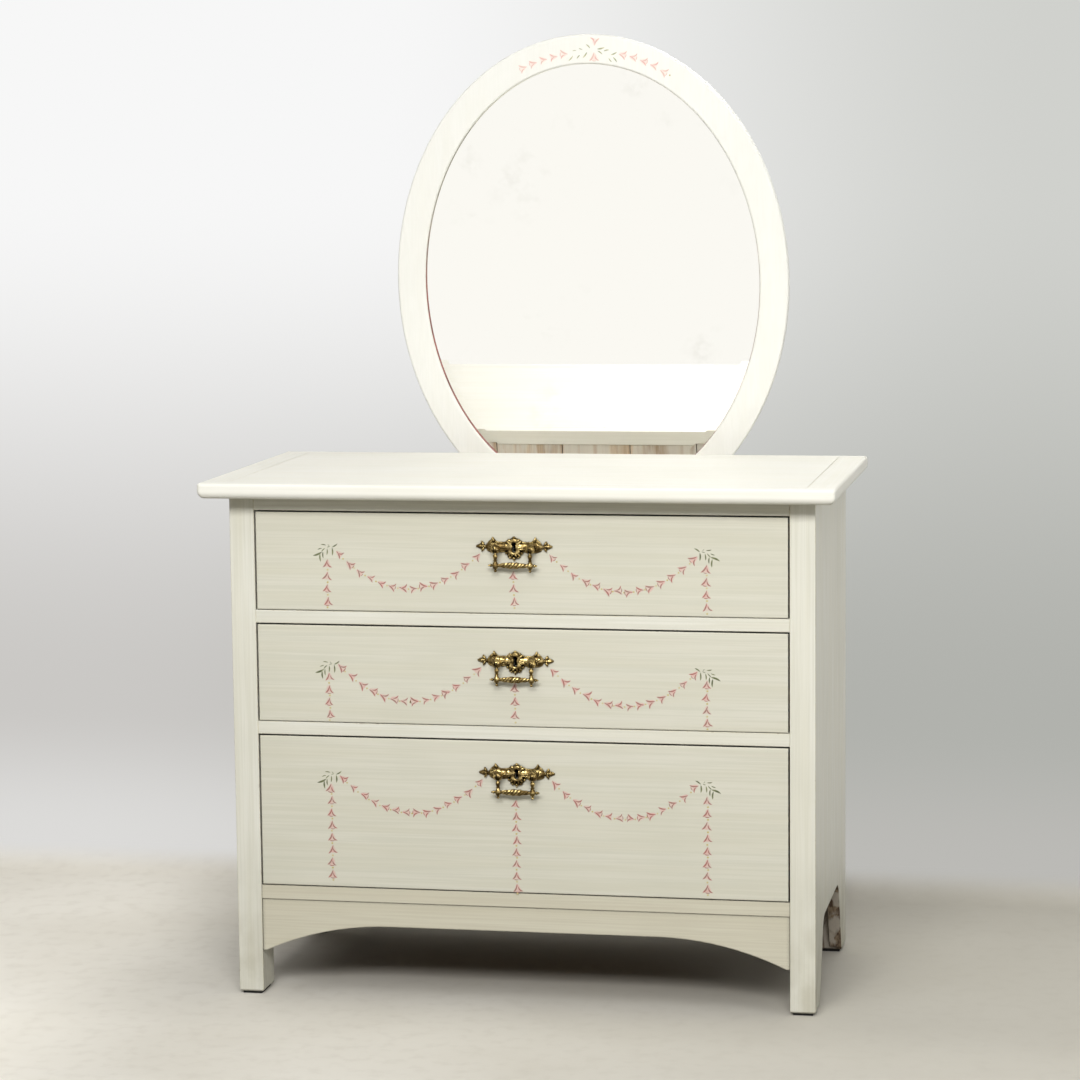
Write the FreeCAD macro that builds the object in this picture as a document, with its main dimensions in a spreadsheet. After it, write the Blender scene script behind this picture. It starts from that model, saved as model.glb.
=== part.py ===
import FreeCAD, Part
import Sketcher

import math
import os
import re

# Painted dresser with three drawers and an oval tilting mirror on two posts behind it.
# Units are millimetres and degrees. +Z is up, +Y runs from the drawer fronts to the back.
# Heights count from the floor, and depths (y) count from the plane of the legs' front faces,
# which the layout value front_y moves so that the whole object is centred on the origin.

SIZES = {
    # top board
    "top_width": 1000.0,
    "top_depth": 530.0,
    "top_thick": 24.5,
    "top_side_overhang": 36.0,
    "top_front_overhang": 58.0,
    "top_back_overhang": 2.0,
    "top_end_width": 45.0,
    "front_strip_width": 27.0,
    "back_strip_width": 26.0,
    "top_nosing": 4.5,
    "top_low_nosing": 11.0,
    "top_corner_radius": 5.5,
    "top_joint_width": 0.8,
    "top_joint_depth": 1.0,
    # carcass
    "body_height": 806.0,
    "leg_width": 39.5,
    "leg_depth": 62.0,
    "leg_chamfer": 2.5,
    "pad_height": 4.0,
    "pad_inset": 2.0,
    "side_thick": 20.0,
    "side_tongue": 8.0,
    "side_low": 10.0,
    "side_arch_height": 132.0,
    "side_arch_slope": 0.42,
    "side_arch_radius": 32.0,
    "rail_set_back": 0.5,
    "top_rail_height": 23.0,
    "rail_height": 20.5,
    "bottom_rail_height": 23.0,
    "upper_opening_height": 159.0,
    "middle_opening_height": 158.0,
    "lower_opening_height": 245.0,
    "tenon_length": 20.0,
    "tenon_thick": 10.0,
    "tenon_inset": 4.0,
    "apron_thick": 20.0,
    "apron_height": 84.5,
    "apron_set_back": 1.5,
    "apron_arch_rise": 45.0,
    "apron_arch_flat": 430.0,
    "apron_tip": 6.0,
    "back_rail_thick": 20.0,
    "back_top_rail_edge": 26.0,
    "back_mid_rail_height": 70.0,
    "back_bottom_rail_height": 50.0,
    "back_board_thick": 8.0,
    "back_board_gap": 1.6,
    # runners, kickers, stops and glue blocks
    "runner_width": 40.0,
    "runner_height": 20.0,
    "guide_height": 18.0,
    "guide_gap": 0.5,
    "stop_width": 30.0,
    "stop_depth": 22.0,
    "stop_height": 8.0,
    "stop_spacing": 600.0,
    "block_width": 40.0,
    "block_size": 18.0,
    "block_spacing": 200.0,
    # drawers
    "front_thick": 20.0,
    "front_side_gap": 2.5,
    "front_top_gap": 2.5,
    "front_low_gap": 1.0,
    "front_edge_radius": 1.5,
    "drawer_back_clearance": 12.0,
    "drawer_side_thick": 12.0,
    "drawer_side_drop": 6.0,
    "drawer_back_thick": 12.0,
    "drawer_back_inset": 6.0,
    "drawer_back_drop": 8.0,
    "drawer_bottom_thick": 5.0,
    "drawer_bottom_rise": 10.0,
    "groove_depth": 6.0,
    "dado_depth": 4.0,
    "tail_length": 14.0,
    "tail_share": 0.7,
    "tail_slope": 0.15,
    "slide_clearance": 0.3,
    # locks
    "key_drop": 53.0,
    "key_offset": -5.0,
    "key_hole_radius": 3.6,
    "key_slot_width": 5.0,
    "key_hole_height": 15.5,
    "lock_width": 40.0,
    "lock_height": 74.0,
    "lock_depth": 11.0,
    "bolt_width": 22.0,
    "bolt_height": 34.0,
    "bolt_thick": 5.0,
    "bolt_inset": 0.5,
    "bolt_travel": 9.0,
    "key_cavity_radius": 8.0,
    "strike_clearance": 2.0,
    # handles
    "plate_length": 124.0,
    "plate_thick": 4.0,
    "post_spacing": 55.0,
    "post_drop": 2.0,
    "post_reach": 16.0,
    "knob_radius": 7.6,
    "knob_slot": 7.0,
    "shank_radius": 2.5,
    "collar_radius": 4.5,
    "nut_radius": 6.0,
    "nut_thick": 5.0,
    "bail_arm_radius": 3.0,
    "bail_drop": 25.5,
    "bail_bar_radius": 4.0,
    "bail_urn_radius": 5.6,
    "bail_finial_reach": 11.5,
    "bail_low_reach": 8.0,
    "bail_finial_radius": 2.2,
    "bail_tip_radius": 2.8,
    "pin_radius": 1.5,
    "pin_length": 13.0,
    "pin_clearance": 0.05,
    # mirror
    "mirror_offset": 20.0,
    "mirror_lean": 4.5,
    "mirror_stand_off": 119.0,
    "mirror_rise": 286.0,
    "mirror_half_width": 338.7,
    "mirror_half_height": 420.3,
    "mirror_frame_width": 49.0,
    "mirror_frame_thick": 18.0,
    "mirror_rabbet": 8.0,
    "mirror_frame_edge": 3.0,
    "glass_thick": 5.0,
    "glass_fit": 0.3,
    "bevel_width": 13.0,
    "bevel_depth": 0.4,
    "backboard_thick": 6.0,
    "clip_length": 34.0,
    "clip_width": 12.0,
    "clip_thick": 2.0,
    "clip_screw_radius": 3.0,
    "batten_height": 50.0,
    "batten_thick": 18.0,
    "batten_end": 20.0,
    # mirror stand
    "stand_post_spacing": 390.0,
    "stand_post_width": 40.0,
    "stand_post_thick": 28.0,
    "stand_post_tail": 38.0,
    "stand_post_head": 28.0,
    "stand_clearance": 22.0,
    "spacer_height": 50.0,
    "spacer_clearance": 16.0,
    "spacer_lower": 470.0,
    "stand_bolt_radius": 4.0,
    "stand_bolt_head": 8.0,
    "stand_nut_radius": 7.0,
    "stand_nut_thick": 5.0,
    "lug_width": 30.0,
    "lug_height": 44.0,
    "lug_thick": 3.0,
    "ear_thick": 4.0,
    "ear_radius": 11.0,
    "ear_gap": 0.3,
    "pivot_reach": 20.0,
    "tilt_bolt_radius": 4.0,
    "tilt_fit": 0.05,
    "tilt_head_radius": 6.8,
    "tilt_nut_radius": 9.0,
    "tilt_nut_thick": 8.0,
    "tilt_head_thick": 4.0,
}

LAYOUT = {
    "body_half": "top_width / 2 - top_side_overhang",
    "body_depth": "top_depth - top_front_overhang - top_back_overhang",
    "opening_half": "body_half - leg_width",
    "side_inner": "body_half - side_thick",
    "back_leg_front": "body_depth - leg_depth",
    "back_rail_front": "body_depth - back_board_thick - back_rail_thick",
    "top_rail_low": "body_height - top_rail_height",
    "floor_upper": "top_rail_low - upper_opening_height",
    "floor_middle": "floor_upper - rail_height - middle_opening_height",
    "floor_lower": "floor_middle - rail_height - lower_opening_height",
    "bottom_rail_low": "floor_lower - bottom_rail_height",
    "apron_low": "bottom_rail_low - apron_height",
    "drawer_half": "opening_half - front_side_gap",
    "drawer_depth": "back_rail_front - drawer_back_clearance",
    "drawer_inner": "drawer_half - drawer_side_thick",
    "drawer_back_front": "drawer_depth - drawer_back_inset - drawer_back_thick",
    "pivot_local": "backboard_thick + batten_thick + lug_thick + pivot_reach",
    "mirror_y": "body_depth + top_back_overhang + mirror_stand_off - mirror_rise * sin(mirror_lean)",
    "mirror_z": "body_height + top_thick + mirror_rise * cos(mirror_lean)",
    "pivot_y": "mirror_y + pivot_local * cos(mirror_lean)",
    "pivot_z": "mirror_z + pivot_local * sin(mirror_lean)",
    "stand_post_front": "pivot_y + stand_clearance",
    "stand_post_inner": "(stand_post_spacing - stand_post_width) / 2",
    "frame_low_at_posts": "mirror_z - cos(mirror_lean) * mirror_half_height"
                          " * sqrt(1 - (stand_post_inner / mirror_half_width) ^ 2)",
    "spacer_upper": "frame_low_at_posts - spacer_clearance - spacer_height / 2",
    "stand_post_foot": "spacer_lower - stand_post_tail",
    "back_top_rail_low": "spacer_upper - back_top_rail_edge",
    "stand_post_back": "stand_post_front + stand_post_thick",
    "rear_end": "stand_post_back + stand_bolt_head / 2",
    "front_y": "(top_front_overhang - rear_end) / 2",
    "rabbet_half_width": "mirror_half_width - mirror_frame_width + mirror_rabbet",
    "rabbet_half_height": "mirror_half_height - mirror_frame_width + mirror_rabbet",
}

# The three drawers: name, opening's floor, opening's height and the number of dovetails a side.
DRAWERS = [
    ("1", "floor_upper", "upper_opening_height", 4),
    ("2", "floor_middle", "middle_opening_height", 4),
    ("3", "floor_lower", "lower_opening_height", 6),
]
BACK_BOARD_COUNT = 7
CLIP_ANGLES = [25, 65, 115, 155, 205, 245, 295, 335]
SIDES = [("left", -1), ("right", 1)]

DOC = FreeCAD.newDocument("DresserWithMirror")
NODES = []

ALONG_X = FreeCAD.Rotation(FreeCAD.Vector(0, 1, 0), 90)
ALONG_Y = FreeCAD.Rotation(FreeCAD.Vector(1, 0, 0), -90)
UPRIGHT = FreeCAD.Rotation()
OVAL_TURN = FreeCAD.Rotation(
    FreeCAD.Vector(0, 0, 1), FreeCAD.Vector(1, 0, 0), FreeCAD.Vector(0, 1, 0), "XYZ")


# ---------------------------------------------------------------- sheets and helpers

def fill_sheet(name, cells):
    """Make a spreadsheet with one aliased cell for each entry."""
    sheet = DOC.addObject("Spreadsheet::Sheet", name)
    for row, (alias, content) in enumerate(cells.items(), start=1):
        sheet.set(f"A{row}", alias)
        sheet.set(f"B{row}", content)
        sheet.setAlias(f"B{row}", alias)
    return sheet


def named(expression, own_sheet=""):
    """Point each alias in an expression at the sheet that holds it."""
    def cell(match):
        word = match.group()
        for sheet, aliases in (("Sizes", SIZES), ("Layout", LAYOUT)):
            if word in aliases:
                return word if sheet == own_sheet else f"{sheet}.{word}"
        return word
    return re.sub(r"[a-z][a-z0-9_]*", cell, str(expression))


SIZE_SHEET = fill_sheet("Sizes", {alias: str(value) for alias, value in SIZES.items()})
LAYOUT_SHEET = fill_sheet(
    "Layout", {alias: "=" + named(formula, "Layout") for alias, formula in LAYOUT.items()})
DOC.recompute()


def size(alias):
    """Read a size or a layout value from its sheet."""
    sheet = SIZE_SHEET if alias in SIZES else LAYOUT_SHEET
    return float(getattr(sheet, alias))


def bind(item, links):
    """Bind properties of an object to expressions of the sheets' aliases."""
    for name, expression in links.items():
        item.setExpression(name, named(expression))


def place(item, x, y, z, turn=UPRIGHT, local=False):
    """Bind an object's place; a local one is in the mirror's own frame."""
    item.Placement = FreeCAD.Placement(FreeCAD.Vector(), turn)
    depth = f"{y}" if local else f"front_y + ({y})"
    bind(item, {"Placement.Base.x": x, "Placement.Base.y": depth, "Placement.Base.z": z})


def box(name, x, y, z, length, width, height, local=False):
    """Add a box from its lowest corner and its size along X, Y and Z."""
    item = DOC.addObject("Part::Box", name)
    bind(item, {"Length": length, "Width": width, "Height": height})
    place(item, x, y, z, local=local)
    return item


def cylinder(name, turn, x, y, z, radius, height, local=False):
    """Add a cylinder from the centre of its first end."""
    item = DOC.addObject("Part::Cylinder", name)
    bind(item, {"Radius": radius, "Height": height})
    place(item, x, y, z, turn, local)
    return item


def sphere(name, x, y, z, radius, local=False):
    """Add a ball."""
    item = DOC.addObject("Part::Sphere", name)
    bind(item, {"Radius": radius})
    place(item, x, y, z, local=local)
    return item


def fuse(name, shapes):
    """Join solids into one."""
    item = DOC.addObject("Part::MultiFuse", name)
    item.Shapes = shapes
    item.Refine = True
    return item


def group(name, shapes):
    """Keep solids side by side in one object."""
    item = DOC.addObject("Part::Compound", name)
    item.Links = shapes
    return item


def cut(name, base, tools):
    """Cut solids out of another one."""
    item = DOC.addObject("Part::Cut", name)
    item.Base = base
    item.Tool = tools[0] if len(tools) == 1 else group(name + "_tools", tools)
    item.Refine = True
    return item


def common(name, base, tool):
    """Keep what two solids share."""
    item = DOC.addObject("Part::Common", name)
    item.Base = base
    item.Tool = tool
    item.Refine = True
    return item


def ease(name, kind, base, radius, wanted):
    """Round (Part::Fillet) or bevel (Part::Chamfer) the edges that a test picks out."""
    DOC.recompute()
    item = DOC.addObject(kind, name)
    item.Base = base
    item.Edges = [(number, radius, radius)
                  for number, edge in enumerate(base.Shape.Edges, start=1) if wanted(edge)]
    return item


def node(item, label):
    """Name an object as a sub-part of the dresser."""
    item.Label = label
    NODES.append(item)
    return item


def spans(edge, axis):
    """How far an edge runs along one axis."""
    limits = edge.BoundBox
    return {"x": limits.XLength, "y": limits.YLength, "z": limits.ZLength}[axis]


def near(value, target):
    """Whether two lengths agree to a hundredth of a millimetre."""
    return abs(value - target) < 0.01


# ---------------------------------------------------------------- top board

def top_blank():
    """The whole top with its nosing and rounded front corners, before it is divided."""
    body = DOC.addObject("PartDesign::Body", "TopBlank")
    plane = [item for item in body.Origin.OriginFeatures if item.Role == "XY_Plane"][0]
    sketch = body.newObject("Sketcher::SketchObject", "TopOutline")
    sketch.AttachmentSupport = (plane, "")
    sketch.MapMode = "FlatFace"
    width, depth = size("top_width"), size("top_depth")
    corners = [(-width / 2, 0), (width / 2, 0), (width / 2, depth), (-width / 2, depth)]
    for start, end in zip(corners, corners[1:] + corners[:1]):
        sketch.addGeometry(Part.LineSegment(FreeCAD.Vector(*start, 0), FreeCAD.Vector(*end, 0)))
    for side in range(4):
        sketch.addConstraint(Sketcher.Constraint("Coincident", side, 2, (side + 1) % 4, 1))
    for side, kind in ((1, "Vertical"), (2, "Horizontal"), (3, "Vertical")):
        sketch.addConstraint(Sketcher.Constraint(kind, side))
    sketch.addConstraint(Sketcher.Constraint("Symmetric", 0, 1, 0, 2, -2))
    sketch.addConstraint(Sketcher.Constraint("PointOnObject", 0, 1, -1))
    across = sketch.addConstraint(Sketcher.Constraint("Distance", 0, width))
    along = sketch.addConstraint(Sketcher.Constraint("Distance", 1, depth))
    bind(sketch, {f"Constraints[{across}]": "top_width", f"Constraints[{along}]": "top_depth"})
    pad = body.newObject("PartDesign::Pad", "TopThickness")
    pad.Profile = sketch
    bind(pad, {"Length": "top_thick"})
    DOC.recompute()
    corner = body.newObject("PartDesign::Fillet", "TopCorners")
    corner.Base = (pad, [f"Edge{number}" for number, edge in enumerate(pad.Shape.Edges, start=1)
                         if near(spans(edge, "z"), size("top_thick")) and near(edge.BoundBox.YMax, 0)])
    bind(corner, {"Radius": "top_corner_radius"})
    DOC.recompute()
    base = corner
    for name, height, radius in (("TopLowNosing", 0, "top_low_nosing"),
                                 ("TopNosing", size("top_thick"), "top_nosing")):
        nosing = body.newObject("PartDesign::Fillet", name)
        rim = [f"Edge{number}" for number, edge in enumerate(base.Shape.Edges, start=1)
               if near(spans(edge, "z"), 0) and near(edge.BoundBox.ZMin, height)
               and not near(edge.BoundBox.YMin, depth)]
        nosing.Base = (base, rim)
        bind(nosing, {"Radius": radius})
        DOC.recompute()
        base = nosing
    place(body, "0", "-top_front_overhang", "body_height")
    return body


def build_top():
    """Divide the top into its panel, its two end boards and the strips along front and back."""
    blank = top_blank()
    edge_x = "(top_width / 2)"
    low, tall = "body_height", "top_thick"
    panel_y = "front_strip_width - top_front_overhang"
    panel_depth = "top_depth - front_strip_width - back_strip_width"
    back_y = "top_depth - top_front_overhang - back_strip_width"
    seam = "(top_width / 2 - top_end_width)"
    groove_z = "body_height + top_thick - top_joint_depth"
    grooves = []
    for side, sign in SIDES:
        grooves.append(box(f"EndJoint_{side}", f"{sign} * {seam} - top_joint_width / 2", panel_y,
                           groove_z, "top_joint_width", panel_depth, "top_joint_depth"))
    for where, joint_y in (("front", panel_y), ("back", back_y)):
        grooves.append(box(f"StripJoint_{where}", f"-{edge_x}", f"{joint_y} - top_joint_width / 2",
                           groove_z, "top_width", "top_joint_width", "top_joint_depth"))

    def piece(name, x, y, length, width):
        region = box(name + "_region", x, y, low, length, width, tall)
        return cut(name, common(name + "_raw", blank, region), [group(name + "_grooves", grooves)])

    node(piece("TopPanel", f"-{seam}", panel_y, f"2 * {seam}", panel_depth), "top_panel")
    node(piece("TopFrontStrip", f"-{edge_x}", "-top_front_overhang", "top_width", "front_strip_width"),
         "top_front_strip")
    node(piece("TopBackStrip", f"-{edge_x}", back_y, "top_width", "back_strip_width"),
         "top_back_strip")
    ends = [piece("TopEnd_left", f"-{edge_x}", panel_y, "top_end_width", panel_depth),
            piece("TopEnd_right", seam, panel_y, "top_end_width", panel_depth)]
    node(group("TopEnds", ends), "top_end_boards")


# ---------------------------------------------------------------- carcass

def rail(name, y, z, depth, height, tenon_y):
    """Make a rail between the legs and return it with the bar that its two tenons lie in."""
    board = box(name + "_board", "-opening_half", y, z, "2 * opening_half", depth, height)
    tenons = box(name + "_tenons", "-opening_half - tenon_length", tenon_y, f"{z} + tenon_inset",
                 "2 * opening_half + 2 * tenon_length", "tenon_thick", f"{height} - 2 * tenon_inset")
    return fuse(name, [board, tenons]), tenons


def strike_mortise(name, floor, opening):
    """The mortise above a drawer that its lock bolt shoots into."""
    return box(name, "key_offset - bolt_width / 2 - strike_clearance",
               "front_thick - lock_depth + (lock_depth - bolt_thick) / 2 - strike_clearance",
               f"{floor} + {opening}", "bolt_width + 2 * strike_clearance",
               "bolt_thick + 2 * strike_clearance",
               "bolt_travel - bolt_inset - front_top_gap + strike_clearance")


def build_front_rails():
    """The rails round the three openings, each mortised below for the lock of its drawer."""
    depth = "leg_depth - rail_set_back"
    rails = [
        ("front_top_rail", "top_rail_low", "top_rail_height"),
        ("drawer_rail_upper", "floor_upper - rail_height", "rail_height"),
        ("drawer_rail_lower", "floor_middle - rail_height", "rail_height"),
        ("front_bottom_rail", "bottom_rail_low", "bottom_rail_height"),
    ]
    tenons = []
    for number, (label, low, height) in enumerate(rails):
        body, bar = rail("Rail_" + label, "rail_set_back", low, depth, height, "leg_depth / 2")
        tenons.append(bar)
        if number < len(DRAWERS):
            name, floor, opening, _ = DRAWERS[number]
            body = cut("Struck_" + label, body, [strike_mortise(f"Strike_{name}", floor, opening)])
        node(body, label)
    return tenons


def build_apron():
    """The front apron with its long shallow arch, which ends in a rounded tip at each leg."""
    board = box("ApronBlank", "-opening_half", "apron_set_back", "apron_low", "2 * opening_half",
                "apron_thick", "apron_height")
    reach = "(opening_half - apron_tip - apron_arch_flat / 2)"
    radius = f"(({reach} ^ 2 + apron_arch_rise ^ 2) / (2 * apron_arch_rise))"
    crown = "(apron_low + apron_arch_rise)"
    tools = [box("ArchFlat", "-apron_arch_flat / 2", "apron_set_back", f"{crown} - {radius}",
                 "apron_arch_flat", "apron_thick", radius)]
    tenons = []
    for side, sign in SIDES:
        tools.append(cylinder(f"ArchCurve_{side}", ALONG_Y, f"{sign} * apron_arch_flat / 2",
                              "apron_set_back", f"{crown} - {radius}", radius, "apron_thick"))
        tenons.append(box(f"ApronTenon_{side}", "opening_half" if sign > 0 else
                          "-opening_half - tenon_length",
                          "apron_set_back + (apron_thick - tenon_thick) / 2", crown,
                          "tenon_length", "tenon_thick",
                          "apron_height - apron_arch_rise - tenon_inset"))
    arch = common("ArchCutter", fuse("ArchShape", tools),
                  box("ArchLimit", "-opening_half", "apron_set_back", "apron_low - leg_width",
                      "2 * opening_half", "apron_thick", "apron_height"))
    node(fuse("Apron", [cut("ApronArched", board, [arch])] + tenons), "front_apron")
    return tenons


def build_back():
    """Three rails between the back legs and the upright boards nailed to them."""
    rails = [
        ("BackTopRail", "back_top_rail_low", "body_height - back_top_rail_low"),
        ("BackMidRail", "spacer_lower - back_mid_rail_height / 2", "back_mid_rail_height"),
        ("BackBottomRail", "bottom_rail_low", "back_bottom_rail_height"),
    ]
    bars, tenons = [], []
    for name, low, height in rails:
        body, bar = rail(name, "back_rail_front", low, "back_rail_thick", height,
                         "back_rail_front + (back_rail_thick - tenon_thick) / 2")
        bars.append(body)
        tenons.append(bar)
    bores = stand_bolt_bores()
    node(cut("BackRails", group("BackRailBars", bars), bores), "back_rails")

    width = f"((2 * opening_half - {BACK_BOARD_COUNT - 1} * back_board_gap) / {BACK_BOARD_COUNT})"
    boards = [box(f"BackBoard_{number}", f"-opening_half + {number} * ({width} + back_board_gap)",
                  "body_depth - back_board_thick", "bottom_rail_low", width, "back_board_thick",
                  "body_height - bottom_rail_low")
              for number in range(BACK_BOARD_COUNT)]
    node(cut("BackBoards", group("BackBoardSet", boards), bores), "back_boards")
    return tenons


def side_tongue(side, sign):
    """The tongue along both upright edges of a side panel."""
    return box(f"SideTongue_{side}", f"{sign} * (side_inner + side_thick / 2) - side_tongue / 2",
               "leg_depth - side_tongue", "side_arch_height + side_tongue", "side_tongue",
               "back_leg_front - leg_depth + 2 * side_tongue",
               "body_height - side_arch_height - 2 * side_tongue")


def build_sides():
    """Side panels flush with the legs, with an arch below that runs down into both legs."""
    tongues = {}
    for side, sign in SIDES:
        low_x = "side_inner" if sign > 0 else "-body_half"
        board = box(f"SideBoard_{side}", low_x, "leg_depth", "side_low", "side_thick",
                    "back_leg_front - leg_depth", "body_height - side_low")
        wedge = DOC.addObject("Part::Wedge", f"SideArchWedge_{side}")
        lean = "side_arch_slope * side_arch_height"
        bind(wedge, {
            "Xmin": "0", "Xmax": "back_leg_front - leg_depth",
            "Ymin": "0", "Ymax": "side_arch_height",
            "Zmin": "0", "Zmax": "side_thick",
            "X2min": lean, "X2max": f"back_leg_front - leg_depth - {lean}",
            "Z2min": "0", "Z2max": "side_thick"})
        turn = FreeCAD.Rotation(
            FreeCAD.Vector(0, 1, 0), FreeCAD.Vector(0, 0, 1), FreeCAD.Vector(1, 0, 0), "XYZ")
        place(wedge, low_x, "leg_depth", "0", turn)
        arch = ease(f"SideArch_{side}", "Part::Fillet", wedge, size("side_arch_radius"),
                    lambda edge: near(edge.BoundBox.ZMin, size("side_arch_height"))
                    and near(spans(edge, "x"), size("side_thick")))
        tongues[side] = side_tongue(side, sign)
        panel = fuse(f"SidePanel_{side}", [cut(f"SideCut_{side}", board, [arch]), tongues[side]])
        node(panel, f"side_panel_{side}")
    return tongues


def build_legs(front_tenons, back_tenons, tongues):
    """Four legs, mortised for the rails and grooved for the side panels."""
    pads = []
    for side, sign in SIDES:
        low_x = "opening_half" if sign > 0 else "-body_half"
        for end, low_y, tenons in (("front", "0", front_tenons), ("back", "back_leg_front", back_tenons)):
            name = f"{end}_leg_{side}"
            blank = box(f"LegBlank_{name}", low_x, low_y, "pad_height", "leg_width", "leg_depth",
                        "body_height - pad_height")
            leg = ease(f"LegFoot_{name}", "Part::Chamfer", blank, size("leg_chamfer"),
                       lambda edge: near(edge.BoundBox.ZMax, size("pad_height")))
            node(cut(f"Leg_{name}", leg, tenons + [tongues[side]]), name)
            pads.append(box(f"Pad_{name}", f"{low_x} + leg_chamfer + pad_inset",
                            f"{low_y} + leg_chamfer + pad_inset", "0",
                            "leg_width - 2 * leg_chamfer - 2 * pad_inset",
                            "leg_depth - 2 * leg_chamfer - 2 * pad_inset", "pad_height"))
    node(group("LegPads", pads), "leg_pads")


def build_runners():
    """Runners that carry and guide the drawers, with kickers above the top one, and stops."""
    deep = "back_leg_front - leg_depth"
    runners, stops = [], []
    guide_width = "(side_inner - drawer_half - guide_gap)"
    for side, sign in SIDES:
        base_x = "side_inner - runner_width" if sign > 0 else "-side_inner"
        guide_x = "drawer_half + guide_gap" if sign > 0 else "-side_inner"
        for name, floor, _, _ in DRAWERS:
            tag = f"{side}_{name}"
            base = box(f"RunnerBase_{tag}", base_x, "leg_depth", f"{floor} - runner_height",
                       "runner_width", deep, "runner_height")
            guide = box(f"RunnerGuide_{tag}", guide_x, "leg_depth", floor, guide_width, deep,
                        "guide_height")
            runners.append(fuse(f"Runner_{tag}", [base, guide]))
            stops.append(box(f"Stop_{tag}", f"{sign} * stop_spacing / 2 - stop_width / 2",
                             "front_thick + slide_clearance", floor, "stop_width", "stop_depth",
                             "stop_height"))
        runners.append(box(f"Kicker_{side}", base_x, "leg_depth", "top_rail_low", "runner_width",
                           deep, "top_rail_height"))
    node(group("Runners", runners), "drawer_runners")
    node(group("Stops", stops), "drawer_stops")


def build_glue_blocks():
    """Blocks in the corner between the top and the rails at its front and back."""
    blocks = []
    for place_y, row in (("leg_depth", "front"), ("back_rail_front - block_size", "back")):
        for step in (-1.5, -0.5, 0.5, 1.5):
            blocks.append(box(f"Block_{row}_{len(blocks)}", f"{step} * block_spacing - block_width / 2",
                              place_y, "body_height - block_size", "block_width", "block_size",
                              "block_size"))
    node(group("GlueBlocks", blocks), "glue_blocks")


# ---------------------------------------------------------------- drawers

def key_cutter(tag, key_z, y, depth):
    """A keyhole: a round hole with a slot below it, cut through along Y."""
    hole = cylinder(f"KeyRound_{tag}", ALONG_Y, "key_offset", y,
                    f"{key_z} + key_hole_height / 2 - key_hole_radius", "key_hole_radius", depth)
    slot = box(f"KeySlot_{tag}", "key_offset - key_slot_width / 2", y,
               f"{key_z} - key_hole_height / 2", "key_slot_width", depth,
               "key_hole_height - key_hole_radius")
    return fuse(f"KeyHole_{tag}", [hole, slot])


def tails(tag, sign, low, height, count):
    """The dovetails at the front end of one drawer side."""
    shapes = []
    wide = f"(tail_share * ({height}) / {count})"
    taper = "(tail_slope * tail_length)"
    for number in range(count):
        tail = DOC.addObject("Part::Wedge", f"Tail_{tag}_{number}")
        bind(tail, {
            "Xmin": "0", "Xmax": "drawer_side_thick", "X2min": "0", "X2max": "drawer_side_thick",
            "Ymin": "0", "Ymax": "tail_length",
            "Zmin": "0", "Zmax": wide, "Z2min": taper, "Z2max": f"{wide} - {taper}"})
        place(tail, "drawer_inner" if sign > 0 else "-drawer_half", "front_thick - tail_length",
              f"{low} + ({number} + 0.5) * ({height}) / {count} - {wide} / 2")
        shapes.append(tail)
    return shapes


def build_drawer(name, floor, opening, tail_count):
    """One drawer box: dovetailed front and sides, housed back, grooved bottom, and its lock."""
    tag = f"Drawer{name}"
    label = f"drawer_{name}"
    key_z = f"({floor} + {opening} - key_drop)"
    front_top = f"({floor} + {opening} - front_top_gap)"
    side_low = f"({floor} + slide_clearance)"
    side_height = f"({opening} - drawer_side_drop - slide_clearance)"
    bottom_low = f"({side_low} + drawer_bottom_rise)"
    bottom_top = f"({bottom_low} + drawer_bottom_thick)"

    bottom = box(tag + "Bottom", "-drawer_inner - groove_depth", "front_thick - groove_depth",
                 bottom_low, "2 * drawer_inner + 2 * groove_depth",
                 "drawer_depth - drawer_back_inset - front_thick + groove_depth",
                 "drawer_bottom_thick")
    back = box(tag + "Back", "-drawer_inner - dado_depth", "drawer_back_front", bottom_top,
               "2 * drawer_inner + 2 * dado_depth", "drawer_back_thick",
               f"{side_low} + {side_height} - drawer_back_drop - {bottom_top}")

    all_tails, sides = [], []
    for side, sign in SIDES:
        board = box(f"{tag}Side_{side}", "drawer_inner" if sign > 0 else "-drawer_half",
                    "front_thick", side_low, "drawer_side_thick", "drawer_depth - front_thick",
                    side_height)
        ends = tails(f"{tag}_{side}", sign, side_low, side_height, tail_count)
        all_tails += ends
        sides.append(cut(f"{tag}SideCut_{side}", fuse(f"{tag}SideTailed_{side}", [board] + ends),
                         [bottom, back]))

    case = box(tag + "LockBlank", "key_offset - lock_width / 2", "front_thick - lock_depth",
               f"{front_top} - lock_height", "lock_width", "lock_depth", "lock_height")
    blank = box(tag + "FrontBlank", "-drawer_half", "0", f"{floor} + front_low_gap",
                "2 * drawer_half", "front_thick", f"{opening} - front_low_gap - front_top_gap")
    front = ease(tag + "FrontEased", "Part::Fillet", blank, size("front_edge_radius"),
                 lambda edge: near(edge.BoundBox.YMax, size("front_y")))
    bores = [cylinder(f"{tag}PostBore_{side}", ALONG_Y, post_centre(sign), "0",
                      f"{key_z} - post_drop", "shank_radius", "front_thick")
             for side, sign in SIDES]
    node(cut(tag + "Front", front, all_tails + bores + [
        bottom, case, key_cutter(tag + "Front", key_z, "0", "front_thick")]), label + "_front")
    node(group(tag + "Sides", sides), label + "_sides")
    node(back, label + "_back")
    node(bottom, label + "_bottom")
    build_lock(tag, label, key_z, front_top, case)
    build_handle(name, key_z)


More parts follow.
